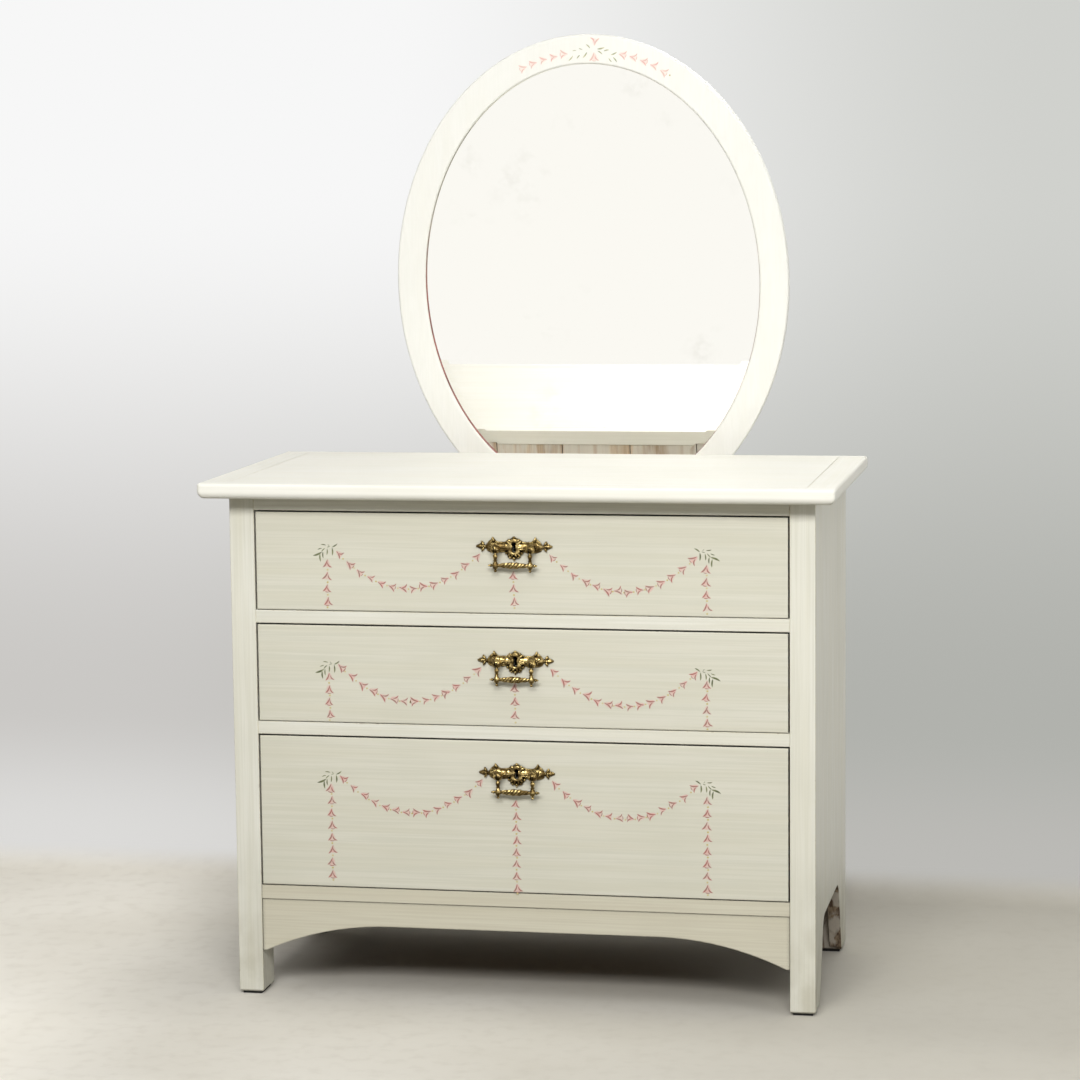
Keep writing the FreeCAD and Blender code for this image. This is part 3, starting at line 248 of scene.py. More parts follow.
@dataclass(frozen=True)
class BrushedPaint(Finish):
    """Eggshell oil paint laid on pine with a wide brush, rubbed thin on its edges.

    It gives the eye long faint bristle lines, a soft low gloss, cloudy thick and thin places,
    and edges where a yellowish undercoat and a little bare wood show.
    """

    run: Run
    coat: str
    stroke: str
    cloud: str
    stroke_share: float = 0.55
    cloud_share: float = 0.45
    wear: float = 0.5
    roughness: float = 0.48
    specular: float = 0.5
    stroke_width_mm: float = 3.2
    stroke_length_mm: float = 190.0
    edge_round_mm: float = 2.2
    undercoat: str = "#E9DFB9"
    bare_wood: str = "#8C7152"
    # The tone that the paint darkens to towards the floor, in cloudy patches.
    low_down_tone: str = "#A79F84"
    # The colour of painted shade and grime in recesses, corners and along edges.
    shade_and_grime: str = "#1D1810"
    # How high above the floor that darkening reaches, in metres; 0 leaves it out.
    darkened_height: float = 0.0
    # Whether painted shade and grime darken the recesses.
    recess_shade_and_grime: bool = False
    # Whether painted shade and grime darken the corners and draw dark lines along the edges.
    corner_shade_and_grime: bool = False
    bare_inside: bool = False
    inner_wood: str = "#A08C74"
    inner_fibre: str = "#5E4A38"
    inner_smear: str = "#D2C9BA"

    def lay(self, graph: Graph) -> None:
        """Lay coat, strokes and clouds, wear the edges, then add painted shade and darkening.

        Args:
            graph: the material's empty graph.
        """
        length, width = self.stroke_length_mm * MM, self.stroke_width_mm * MM
        fine = graph.noise(self.run.sizes(length, width), 4.0, 0.0, 0.15)
        broad = graph.noise(self.run.sizes(2.4 * length, 7.0 * width), 2.0, 3.7)
        patches = graph.noise(0.16, 2.0, 9.1)
        speckle = graph.noise(0.011, 3.0, 5.3)
        colour = graph.over(self.coat, self.stroke, fine, 0.36, 0.66, self.stroke_share)
        colour = graph.over(colour, self.cloud, broad, 0.34, 0.66, self.cloud_share)
        colour = graph.over(colour, self.stroke, patches, 0.42, 0.75, 0.3)
        rounded = graph.softened(self.edge_round_mm * MM)
        edges = graph.edge_mask(rounded)
        rubbed = graph.product(edges, graph.ranged(speckle, 0.36, 0.62, 0.15, 1.0))
        colour = graph.mix(graph.product(rubbed, self.wear), colour, self.undercoat)
        chips = graph.product(edges, graph.ranged(speckle, 0.64, 0.70, 0.0, self.wear))
        colour = graph.mix(chips, colour, self.bare_wood)
        # Darker towards the floor, in cloudy patches.
        if self.darkened_height:
            colour = self.darken_low_down(graph, colour)
        # Painted shade and grime where the surface lies in a recess, such as inside the keyhole.
        if self.recess_shade_and_grime:
            colour = graph.shaded_and_grimed(colour, 9 * MM, self.shade_and_grime, 0.58, 0.28)
        # Painted shade and grime: darker in corners, and dark lines along every edge.
        if self.corner_shade_and_grime:
            colour = graph.shaded_and_grimed(colour, 7 * MM, self.shade_and_grime, 0.93, 0.62)
            corners = graph.product(graph.edge_mask(graph.softened(2.6 * MM)), 0.7)
            colour = graph.mix(corners, colour, self.shade_and_grime)
        if self.bare_inside:
            colour = self.leave_inside_bare(graph, colour)
        gloss = graph.ranged(fine, 0.3, 0.7, self.roughness - 0.05, self.roughness + 0.09)
        graph.close({"Base Color": colour, "Roughness": gloss,
                     "Specular IOR Level": self.specular,
                     "Normal": graph.bump(fine, 0.12 * MM, 0.55, rounded)})

    def leave_inside_bare(self, graph: Graph, colour: Hue) -> Socket:
        """Leave the faces that look forwards or inwards unpainted: dark wood with pale smears.

        Args:
            graph: the paint's graph.
            colour: the paint's colour.

        Returns:
            The socket of the colour with the bare faces.
        """
        facing = graph.axes("Normal")
        inwards = graph.product(graph.axes()["X"], facing["X"])
        bare = graph.product(graph.ranged(facing["Y"], -0.3, -0.7),
                             graph.ranged(inwards, -0.1, -0.25), "MAXIMUM")
        fibres = graph.noise(self.run.sizes(0.10, 5 * MM), 4.0, 2.9, 0.5)
        dabs = graph.noise(self.run.sizes(0.045, 0.02), 4.0, 7.3, 0.6)
        wood = graph.over(self.inner_wood, self.inner_fibre, fibres, 0.38, 0.62)
        wood = graph.over(wood, self.inner_smear, dabs, 0.46, 0.60, 0.8)
        # Painted shade and grime where the bare wood lies in a recess.
        wood = graph.shaded_and_grimed(wood, 14 * MM, self.shade_and_grime, 0.8, 0.3)
        return graph.mix(bare, colour, wood)

    def darken_low_down(self, graph: Graph, colour: Hue) -> Socket:
        """Darken the paint towards the floor, in cloudy patches.

        Args:
            graph: the paint's graph.
            colour: the clean paint's colour.

        Returns:
            The darkened colour's socket.
        """
        near_floor = graph.ranged(graph.axes()["Z"], self.darkened_height, 0.0)
        cloud = graph.ranged(graph.noise((0.03, 0.03, 0.05), 4.0, 6.6), 0.3, 0.7, 0.05, 0.35)
        return graph.mix(graph.product(near_floor, cloud), colour, self.low_down_tone)


@dataclass(frozen=True)
class BareWood(Finish):
    """Sawn softwood left without a finish, darkened by age.

    It gives the eye straight brown growth lines, darker flecks and a dry matt surface, and where
    it has been smeared, dry pale dabs of paint from the brush's wiping.
    """

    run: Run
    early: str
    late: str
    fleck: str
    ring_width_mm: float = 7.0
    ring_length_mm: float = 420.0
    roughness: float = 0.78
    smear: str = "#EDE9DF"
    smear_share: float = 0.0
    # The colour of painted shade and dust in the smeared boards' recesses.
    dust: str = "#2B2118"

    def lay(self, graph: Graph) -> None:
        """Lay growth rings, patches, fibres and, where asked for, smears.

        Args:
            graph: the material's empty graph.
        """
        rings = graph.noise(self.run.sizes(self.ring_length_mm * MM, self.ring_width_mm * MM),
                            4.0, 1.3, 0.6)
        fibres = graph.noise(self.run.sizes(0.09, 1.1 * MM), 3.0, 6.2)
        patches = graph.noise(self.run.sizes(0.5, 0.09), 2.0, 2.4)
        colour = graph.over(self.early, self.late, rings, 0.36, 0.64)
        colour = graph.over(colour, self.fleck, patches, 0.38, 0.68, 0.5)
        colour = graph.over(colour, self.fleck, fibres, 0.55, 0.75, 0.55)
        if self.smear_share:
            dabs = graph.noise(self.run.sizes(0.24, 0.022), 5.0, 3.1, 0.5)
            colour = graph.over(colour, self.smear, dabs, 0.40, 0.58, self.smear_share)
            # Painted shade and dust where the boards lie in a recess.
            colour = graph.shaded_and_grimed(colour, 16 * MM, self.dust)
        graph.close({"Base Color": colour, "Roughness": self.roughness,
                     "Normal": graph.bump(fibres, 0.25 * MM)})


@dataclass(frozen=True)
class AgedBrass(Finish):
    """Sand-cast yellow brass, brown where tarnish sits and gold where hands rub it.

    It gives the eye bright warm highlights on raised parts and nearly black hollows.
    """

    rubbed: str = "#CDB57A"
    tarnish: str = "#66522E"
    # Grime and painted shade in the hollows.
    hollow_shade_and_grime: str = "#0D0904"

    def lay(self, graph: Graph) -> None:
        """Lay the tarnish over the metal, and grime with painted shade into its hollows.

        Args:
            graph: the material's empty graph.
        """
        mottle = graph.noise(7 * MM, 4.0)
        grit = graph.noise(0.9 * MM, 2.0, 4.4)
        colour = graph.over(self.rubbed, self.tarnish, mottle, 0.36, 0.62, 0.95)
        # Painted shade and grime in the hollows.
        colour = graph.shaded_and_grimed(colour, 5 * MM, self.hollow_shade_and_grime, 0.95, 0.50, 8)
        graph.close({"Base Color": colour, "Metallic": 1.0,
                     "Roughness": graph.ranged(mottle, 0.3, 0.7, 0.2, 0.46),
                     "Normal": graph.bump(grit, 0.12 * MM, 0.6)})


@dataclass(frozen=True)
class PlainSteel(Finish):
    """Mild steel parts, either dull and oiled or bright with a zinc coat.

    It gives the eye a grey metal with cloudy gloss, and small rust-brown specks where it is old.
    """

    metal: str
    speck: str
    roughness: float
    hollow_shade_and_grime: str = "#080706"

    def lay(self, graph: Graph) -> None:
        """Lay specks over the metal and shade its hollows.

        Args:
            graph: the material's empty graph.
        """
        cloud = graph.noise(0.012)
        specks = graph.noise(2.2 * MM, 3.0, 7.7)
        colour = graph.over(self.metal, self.speck, specks, 0.58, 0.72, 0.7)
        # Painted shade and grime in the hollows.
        colour = graph.shaded_and_grimed(colour, 30 * MM, self.hollow_shade_and_grime, 0.7, 0.3)
        graph.close({"Base Color": colour, "Metallic": 1.0,
                     "Roughness": graph.ranged(cloud, 0.3, 0.7, self.roughness - 0.08,
                                               self.roughness + 0.12)})


@dataclass(frozen=True)
class SilveredGlass(Finish):
    """Old silvered plate glass with a ground bevel.

    It gives the eye a clear reflection and a few pale grey clouds where the silver has gone thin.
    """

    silver: str = "#FDFCF8"
    cloud: str = "#F4F3EE"

    def lay(self, graph: Graph) -> None:
        """Lay thin clouds into the silver.

        Args:
            graph: the material's empty graph.
        """
        clouds = graph.ranged(graph.noise(0.11, 3.0, 2.2), 0.56, 0.74)
        spots = graph.ranged(graph.noise(0.022, 2.0, 8.4), 0.4, 0.7)
        thin = graph.product(clouds, spots)
        graph.close({"Base Color": graph.mix(thin, self.silver, self.cloud), "Metallic": 1.0,
                     "Roughness": graph.ranged(thin, 0.0, 1.0, 0.01, 0.035)})


@dataclass(frozen=True)
class SightStain(Finish):
    """The cut wall of the mirror frame's opening, stained red and partly painted over.

    It gives the eye a thin rose-brown line low down that turns grey and pale towards the top.
    """

    stain: str = "#9A5145"
    deep: str = "#74382E"
    grey: str = "#A9A698"
    painted: str = "#E4E0D0"

    def lay(self, graph: Graph) -> None:
        """Lay the stain, then the grey and the paint towards the top.

        Args:
            graph: the material's empty graph.
        """
        height = graph.axes()["Z"]
        red = graph.over(self.stain, self.deep, graph.noise((0.02, 0.02, 0.06), 3.0, 4.1),
                         0.35, 0.65)
        colour = graph.over(red, self.grey, height, 1.08, 1.26)
        graph.close({"Base Color": graph.over(colour, self.painted, height, 1.36, 1.45),
                     "Roughness": 0.6})


@dataclass(frozen=True)
class PadFelt(Finish):
    """Black rubberised felt glued below the feet: dull, slightly fibrous and without shine."""

    fibre: str = "#141312"
    dust: str = "#3A3734"

    def lay(self, graph: Graph) -> None:
        """Lay dust over the fibres."""
        fuzz = graph.noise(1.2 * MM)
        graph.close({"Base Color": graph.over(self.fibre, self.dust, fuzz, 0.45, 0.75, 0.6),
                     "Roughness": 0.92, "Normal": graph.bump(fuzz, 0.3 * MM)})


@dataclass(frozen=True)
class BrushColour(Finish):
    """Thin artists' oil colour laid in single strokes over the paint.

    It gives the eye soft strokes that change between a clear and a greyed tone along the brush
    and thin out to the paint below them at their sides and ends.
    """

    clear: str
    greyed: str
    ground: str = "#D7D4C3"
    patch_mm: float = 9.0

    def lay(self, graph: Graph) -> None:
        """Lay the colour as thick as the stroke's film attribute says.

        Args:
            graph: the material's empty graph.
        """
        load = graph.noise(self.patch_mm * MM, 2.0, 1.9)
        colour = graph.over(self.clear, self.greyed, load, 0.36, 0.64)
        film = graph.add_node("Attribute", attribute_name="film")["Fac"]
        graph.close({"Base Color": graph.over(self.ground, colour, film, 0.05, 0.6),
                     "Roughness": 0.5,
                     "Normal": graph.bump(graph.noise(0.8 * MM, 2.0, 5.1), 0.05 * MM)})


class Finishes:
    """All the finishes of the dresser by their short names, each built once."""

    GREY = ("#DEDBCB", "#CFCDBA", "#D6D2BD")
    BODY = ("#E9E7DA", "#D6D4C3", "#E0DCC8")
    CREAM = ("#F8F6EC", "#EDEBDD", "#F3EFDF")
    IVORY = ("#F2F1EA", "#E8E7DE", "#EDEBE0")
    YELLOWED = ("#D8D3BE", "#C8C1AB", "#CFC8B1")
    PINE = ("#A27B52", "#6E4A2B", "#4E3420")
    AGED_PINE = ("#E8D5BA", "#CBAE8E", "#7A5D45")
    SHEET = ("#B4905F", "#94713F", "#6F5330")
    CREAM_GROUND = "#F2EFE4"

    def __init__(self) -> None:
        """Build every material."""
        across, inward, upward = Run.ALONG_X, Run.ALONG_Y, Run.ALONG_Z
        faint = {"stroke_share": 0.35, "cloud_share": 0.3, "wear": 0.35, "specular": 0.35}
        kinds = {
            "drawer": BrushedPaint("Brushed drawer paint", across, *self.GREY, wear=0.8,
                                   recess_shade_and_grime=True),
            "low_rail": BrushedPaint("Yellowed apron paint", across, *self.YELLOWED,
                                     shade_and_grime="#2E2A1E", corner_shade_and_grime=True),
            "rail": BrushedPaint("Brushed rail paint", across, *self.BODY, wear=0.8),
            "upright": BrushedPaint("Brushed upright paint", upward, *self.BODY, wear=0.8,
                                    darkened_height=0.3),
            "back_upright": BrushedPaint("Upright painted outside only", upward, *self.BODY,
                                         wear=0.8, darkened_height=0.3, bare_inside=True),
            "top": BrushedPaint("Brushed cream top paint", across, *self.CREAM, **faint),
            "end_board": BrushedPaint("Brushed cream end board paint", inward, *self.CREAM,
                                      **faint),
            "oval": BrushedPaint("Brushed cream mirror frame paint", upward, *self.IVORY,
                                 stroke_share=0.3, cloud_share=0.3, wear=0.25),
            "pine_x": BareWood("Bare pine along the width", across, *self.PINE),
            "pine_y": BareWood("Bare pine along the depth", inward, *self.PINE),
            "pine_z": BareWood("Smeared pine back boards", upward, *self.AGED_PINE,
                               smear_share=0.8),
            "plywood": BareWood("Birch plywood", across, *self.SHEET, ring_width_mm=26.0,
                                roughness=0.7),
            "sight_wood": SightStain("Stained sight edge"),
            "brass": AgedBrass("Aged cast brass"),
            "lock_steel": PlainSteel("Dull lock steel", "#45413C", "#2E231B", 0.55),
            "zinc": PlainSteel("Zinc plated steel", "#A9ABA8", "#7E7C74", 0.33),
            "mirror": SilveredGlass("Silvered mirror glass"),
            "pad": PadFelt("Black felt pad"),
            "petal_stroke": BrushColour("Rose brush colour", "#AC6B61", "#9C7A6E", "#DDC0B4"),
            "petal_wash": BrushColour("Pale rose wash", "#DEB5AB", "#DDC8BA"),
            "leaf": BrushColour("Leaf green brush colour", "#4F5730", "#7C8154"),
            "pollen": BrushColour("Ochre brush colour", "#C6B56C", "#D2C595"),
            "crown_stroke": BrushColour("Clear rose brush colour", "#DFADA3", "#DEC1B5",
                                        "#F1DACF"),
            "crown_wash": BrushColour("Faint rose wash", "#F3DAD2", "#F5E6DD",
                                      self.CREAM_GROUND),
            "crown_leaf": BrushColour("Pale leaf brush colour", "#92966F", "#C4C094",
                                      self.CREAM_GROUND),
        }
        self.materials = {name: finish.build() for name, finish in kinds.items()}

    def __getitem__(self, name: str) -> bpy.types.Material:
        """A finish's material by its short name."""
        return self.materials[name]


# ------------------------------------------------------------------ modelling by operators

def deselect() -> None:
    """Leave nothing selected and no object active."""
    bpy.ops.object.select_all(action="DESELECT")
    bpy.context.view_layer.objects.active = None


def pick(*pieces: Piece) -> None:
    """Select only these pieces, with the last one active.

    Args:
        pieces: what to select.
    """
    deselect()
    for piece in pieces:
        piece.select_set(True)
    bpy.context.view_layer.objects.active = pieces[-1]


def primitive(name: str, kind: str, **settings: object) -> Piece:
    """Add a mesh primitive at the origin.

    Args:
        name: the piece's name.
        kind: what it is, such as "circle".
        settings: its operator's settings.

    Returns:
        The new piece.
    """
    deselect()
    getattr(bpy.ops.mesh, f"primitive_{kind}_add")(**settings)
    bpy.context.object.name = name
    return bpy.context.object


def settle(piece: Piece, turn: Point = (0, 0, 0), scale: Point = (1, 1, 1),
           place: Point = (0, 0, 0)) -> Piece:
    """Turn, scale and move a piece, all of it in its mesh.

    Args:
        piece: the piece to move.
        turn: degrees about X, Y and Z.
        scale: the factors along X, Y and Z.
        place: where its origin goes.

    Returns:
        The same piece.
    """
    piece.rotation_euler = [math.radians(angle) for angle in turn]
    piece.scale, piece.location = scale, place
    pick(piece)
    bpy.ops.object.transform_apply(location=True, rotation=True, scale=True)
    return piece


def extrude(x: float, y: float, z: float) -> None:
    """Extrude what is selected in edit mode by a way."""
    bpy.ops.mesh.extrude_region_move(TRANSFORM_OT_translate={"value": (x, y, z)})


def face_outward(piece: Piece) -> None:
    """Turn all the faces of a piece outwards.

    Args:
        piece: the closed piece.
    """
    pick(piece)
    bpy.ops.object.mode_set(mode="EDIT")
    bpy.ops.mesh.select_all(action="SELECT")
    bpy.ops.mesh.normals_make_consistent(inside=False)
    bpy.ops.object.mode_set(mode="OBJECT")


def apply_modifier(piece: Piece, kind: str, **settings: object) -> None:
    """Add a modifier with its settings and apply it.

    Args:
        piece: the piece to change.
        kind: the modifier's type.
        settings: the modifier's property values.
    """
    pick(piece)
    modifier = piece.modifiers.new(kind.title(), kind)
    for name, value in settings.items():
        setattr(modifier, name, value)
    bpy.ops.object.modifier_apply(modifier=modifier.name)


def join(name: str, pieces: Sequence[Piece]) -> Piece:
    """Join pieces into one.

    Args:
        name: the joined piece's name.
        pieces: what to join.

    Returns:
        The joined piece.
    """
    pick(*pieces)
    if len(pieces) > 1:
        bpy.ops.object.join()
    joined = bpy.context.view_layer.objects.active
    joined.name = joined.data.name = name
    return joined


def stamp(template: Piece, matrix: Matrix) -> Piece:
    """Copy a template with its own mesh, put in place by a matrix.

    Args:
        template: the piece to copy, which stays as it is.
        matrix: the place, turn and scale of the copy.

    Returns:
        The copy.
    """
    copy = template.copy()
    copy.data = template.data.copy()
    copy.data.transform(matrix)
    bpy.context.collection.objects.link(copy)
    return copy


def remove(*pieces: Piece) -> None:
    """Delete templates that are no longer needed."""
    for piece in pieces:
        bpy.data.objects.remove(piece, do_unlink=True)


def smooth(piece: Piece, angle: float) -> None:
    """Shade a piece smoothly across edges flatter than an angle."""
    pick(piece)
    bpy.ops.object.shade_smooth_by_angle(angle=math.radians(angle))


def dress(piece: Piece, material: bpy.types.Material) -> None:
    """Give a piece one material."""
    piece.data.materials.clear()
    piece.data.materials.append(material)


def report(piece: Piece) -> None:
    """Report a finished piece and its number of faces."""
    LOG.info("%s: %d faces", piece.name, len(piece.data.polygons))


def shifted(x: float, y: float, z: float) -> Matrix:
    """The matrix of a move in millimetres."""
    return Matrix.Translation((x * MM, y * MM, z * MM))


def rotated(angle: float, axis: str) -> Matrix:
    """The matrix of a turn in degrees about an axis."""
    return Matrix.Rotation(math.radians(angle), 4, axis)


def turned(name: str, profile: Sequence[Pair], steps: int = 24) -> Piece:
    """Turn a round piece upwards, ring by ring, as on a lathe.

    Args:
        name: the piece's name.
        profile: radius and height of each ring in millimetres, from the bottom.
        steps: how many sides the rings have.

    Returns:
        The closed piece, standing on Z at the origin.
    """
    piece = primitive(name, "circle", vertices=steps, radius=profile[0][0] * MM,
                      fill_type="NGON")
    bpy.ops.object.mode_set(mode="EDIT")
    bpy.ops.mesh.select_all(action="SELECT")
    for (radius, height), (next_radius, next_height) in zip(profile, profile[1:]):
        extrude(0, 0, (next_height - height) * MM)
        share = next_radius / radius
        bpy.ops.transform.resize(value=(share, share, 1))
    bpy.ops.object.mode_set(mode="OBJECT")
    face_outward(piece)
    settle(piece, place=(0, 0, profile[0][1] * MM))
    smooth(piece, 55)
    return piece


def lobe(name: str, length: float, width: float, height: float, taper: float) -> Piece:
    """A cast leaf lobe that lies along +X with its round end at the origin.

    Args:
        name: the piece's name.
        length: how long it is, in millimetres.
        width: its widest part, in millimetres.
        height: how far it stands off the plate, in millimetres.
        taper: how much narrower its far end is, from 0 to 1.

    Returns:
        The lobe, its relief towards -Y and its width along Z.
    """
    piece = settle(primitive(name, "uv_sphere", segments=12, ring_count=8, radius=0.5),
                   turn=(0, 90, 0))
    settle(piece, scale=(length * MM, 2 * height * MM, width * MM),
           place=(0.42 * length * MM, 0, 0))
    for vertex in piece.data.vertices:
        reach = min(max(vertex.co.x / (0.92 * length * MM), 0.0), 1.0)
        vertex.co.z *= 1 - taper * reach ** 1.6
        vertex.co.y *= 1 - 0.5 * taper * reach
    smooth(piece, 80)
    return piece


# ------------------------------------------------------------------ handles

@dataclass
class DropHandle:
    """A cast brass handle: a relief plate, two slotted knobs and a drop bail.

    It is modelled once round the keyhole's centre and copied to each drawer. Sizes are in
    millimetres from that centre, with -Y out of the drawer front.
    """

    finishes: Finishes
    plate_thick: float = 2.6
    boss_reach: float = 34.0
    knob_reach: float = 27.5
    knob_drop: float = 2.0
    knob_out: float = 16.0
    knob_radius: float = 7.6
    knob_flutes: int = 8
    barrel_half: float = 2.1
    barrel_radius: float = 5.2
    arm_room: float = 2.4
    front_thick: float = 20.0
    bar_drop: float = 25.5
    bar_steps: int = 30
    bar_twist: float = 15.0
    bar_ridges: tuple[float, ...] = (3.5, 2.7, 3.1, 2.4)
    outline: tuple[Pair, ...] = (
        (0.0, 15.6), (3.6, 14.2), (7.6, 10.8), (11.6, 9.8), (13.4, 8.4), (20.0, 7.9),
        (27.0, 8.3), (30.8, 11.6), (33.8, 14.6), (36.6, 11.8), (41.0, 8.0), (44.4, 3.4),
        (46.6, 2.4), (48.6, 6.0), (50.8, 8.2), (53.4, 5.2), (57.6, 3.2), (60.6, 1.0),
        (57.6, -1.4), (53.4, -3.0), (50.4, -5.2), (47.8, -3.2), (45.6, -2.2), (42.4, -6.2),
        (36.0, -8.9), (28.0, -8.8), (20.0, -8.5), (13.6, -8.6), (11.2, -12.4), (7.6, -16.4),
        (3.4, -18.2), (0.0, -18.8))
    shield: tuple[Pair, ...] = (
        (0.0, 13.4), (3.6, 12.0), (7.2, 9.8), (11.0, 8.8), (10.0, 5.6), (8.0, 2.6), (7.4, -0.6),
        (8.0, -3.8), (9.8, -7.2), (8.0, -10.2), (4.4, -11.8), (0.0, -12.2))
    roll: tuple[Pair, ...] = (
        (8.4, 3.6), (7.9, 7.0), (7.0, 11.0), (6.8, 13.0), (7.2, 13.8), (6.8, 14.6),
        (6.7, 20.0), (6.9, 23.6), (7.6, 24.4), (7.0, 25.2), (7.6, 26.6), (8.6, 29.6),
        (9.0, 33.2), (8.5, 37.0), (6.8, 40.6), (4.4, 43.4), (2.6, 45.0), (2.4, 46.4),
        (3.0, 47.4), (2.2, 48.6))
    bead_bar: tuple[Pair, ...] = (
        (1.6, 6.4), (1.3, 9.0), (0.9, 13.0), (0.9, 23.0), (1.3, 26.0), (0.6, 28.0))
    bead: tuple[Pair, ...] = (
        (2.2, -0.8), (2.4, 0.4), (2.3, 1.5), (1.7, 2.6), (0.9, 3.1), (0.2, 3.2))
    arm_foot: tuple[Pair, ...] = (
        (0.4, -10.6), (1.7, -10.0), (2.5, -8.6), (2.1, -7.2), (1.4, -6.4), (2.1, -5.6),
        (3.9, -4.0), (4.6, -1.4), (4.7, 1.0), (4.0, 3.6), (2.7, 5.6), (2.4, 6.4), (3.3, 7.2),
        (3.4, 8.0), (2.2, 9.0), (2.9, 11.0), (3.7, 13.8), (3.5, 15.8), (2.7, 17.0),
        (2.2, 18.0))
    arm_head: tuple[Pair, ...] = ((2.0, -6.6), (1.9, -4.0), (1.7, 0.0), (0.6, 0.4))
    finial: tuple[Pair, ...] = (
        (2.6, 0.0), (2.9, 3.9), (1.7, 4.8), (1.6, 5.2), (2.6, 6.0), (2.9, 7.0), (2.1, 8.2),
        (1.4, 8.9), (1.7, 9.7), (1.6, 10.6), (0.3, 11.4))
    templates: dict[str, Piece] = field(default_factory=dict)

    def keyhole_outline(self) -> list[Pair]:
        """The keyhole's outline: a round head over a straight slot.

        Returns:
            Its points in millimetres, without the first one repeated.
        """
        head, centre_z, half, foot = 3.6, 4.15, 2.5, -7.75
        arc = [(head * math.sin(angle), centre_z + head * math.cos(angle))
               for angle in map(math.radians, range(-130, 131, 26))]
        return [(-half, foot)] + arc + [(half, foot)]

    def casting(self, name: str, right: Sequence[Pair], thick: float, rounding: float) -> Piece:
        """Cast a flat symmetric shape with softened edges, pierced by the keyhole.

        Args:
            name: the piece's name.
            right: the right half of the outline, from the top centre to the bottom centre.
            thick: its thickness in millimetres.
            rounding: how far its edges are rounded, in millimetres.

        Returns:
            The casting, with its back on the drawer front.
        """
        curve = bpy.data.curves.new(name, "CURVE")
        curve.dimensions = "2D"
        curve.fill_mode = "BOTH"
        curve.resolution_u = 5
        ring = list(right) + [(-x, z) for x, z in reversed(right[1:-1])]
        for points in (ring, self.keyhole_outline()):
            spline = curve.splines.new("BEZIER")
            spline.bezier_points.add(len(points) - 1)
            for point, (x, z) in zip(spline.bezier_points, points):
                point.co = (x * MM, z * MM, 0)
                point.handle_left_type = point.handle_right_type = "AUTO"
            spline.use_cyclic_u = True
        curve.extrude = (thick / 2 - rounding) * MM
        curve.bevel_depth = rounding * MM
        curve.bevel_resolution = 3
        curve.offset = -0.7 * rounding * MM
        plate = bpy.data.objects.new(name, curve)
        bpy.context.collection.objects.link(plate)
        pick(plate)
        bpy.ops.object.convert(target="MESH")
        plate = settle(bpy.context.object, turn=(90, 0, 0), place=(0, -thick / 2 * MM, 0))
        apply_modifier(plate, "WELD", merge_threshold=1e-5)
        smooth(plate, 35)
        return plate

    def half_turned(self, name: str, profile: Sequence[Pair], depth_share: float) -> Piece:
        """A turned form laid along +X, flattened in depth, with a flat back.

        Args:
            name: the piece's name.
            profile: radius and distance from the keyhole for each ring.
            depth_share: how deep it is for its height.

        Returns:
            The form, with its back on the drawer front.
        """
        piece = settle(turned(name, profile, 28), turn=(0, 90, 0))
        for vertex in piece.data.vertices:
            vertex.co.y = min(vertex.co.y * depth_share - 1.2 * MM, -0.1 * MM)
        return piece

    def plate(self) -> Piece:
        """Cast the whole plate with its rolls, bosses, pediment, finials and shell.

        Returns:
            The plate, round the keyhole's centre.
        """
        parts = [self.casting("plate_base", self.outline, self.plate_thick, 0.7),
                 self.casting("plate_shield", self.shield, 6.4, 2.2)]

        def leaf(template: Piece, x: float, z: float, turn: float, out: float) -> None:
            """Set a lobe on the plate, pointing at an angle in the plate's plane."""
            parts.append(stamp(template, shifted(x, -self.plate_thick - out, z)
                               @ rotated(-turn, "Y")))

        def knot(x: float, z: float, size: float, out: float = 0.0) -> None:
            """Set a bead on the plate, pointing outwards."""
            parts.append(stamp(bead, shifted(x, -self.plate_thick - out, z) @ rotated(90, "X")
                               @ Matrix.Scale(size, 4)))

        wide = lobe("lobe_wide", 13.0, 6.6, 3.0, 0.7)
        curl = lobe("lobe_curl", 8.4, 5.0, 2.6, 0.55)
        spike = lobe("lobe_spike", 8.4, 4.6, 2.2, 0.9)
        ray = lobe("lobe_ray", 9.6, 5.0, 2.6, 0.45)
        short = lobe("lobe_short", 5.4, 2.6, 1.5, 0.6)
        bead = turned("bead", self.bead, 16)
        roll = self.half_turned("roll", self.roll, 0.66)
        bar = self.half_turned("bar_bead", self.bead_bar, 1.0)
        boss_z, petals = 0.6, 8
        for sign in (-1, 1):
            flip = 180 if sign < 0 else 0
            mirrored = Matrix.Diagonal((sign, 1.0, 1.0, 1.0))
            parts += [stamp(roll, mirrored), stamp(bar, shifted(0, -4.5, -0.9) @ mirrored),
                      stamp(bar, shifted(0, -3.4, -3.6) @ mirrored)]
            leaf(spike, sign * 31.6, 8.4, 90 - sign * 22, 1.2)
            knot(sign * 33.9, 14.4, 0.62)
            for step in range(petals):
                angle = (step + 0.5) * 360 / petals
                leaf(short, sign * self.boss_reach + 1.6 * math.cos(math.radians(angle)),
                     boss_z + 1.6 * math.sin(math.radians(angle)), angle, 3.4)
            knot(sign * self.boss_reach, boss_z, 0.8, 3.6)
            leaf(wide, sign * 48.4, 1.1, flip, 0.6)
            leaf(curl, sign * 48.2, 2.2, flip + sign * 66, 0.5)
            leaf(curl, sign * 48.0, -0.6, flip - sign * 62, 0.5)
            knot(sign * 50.9, 8.2, 0.62)
            knot(sign * 50.6, -4.8, 0.62)
            knot(sign * 49.6, 1.1, 0.9, 1.6)
            leaf(curl, sign * 4.0, 8.0, 90 - sign * 48, 3.2)
            knot(sign * 11.2, 9.3, 0.66, 0.4)
            leaf(ray, sign * 5.4, -8.6, -90 + sign * 34, 0.8)
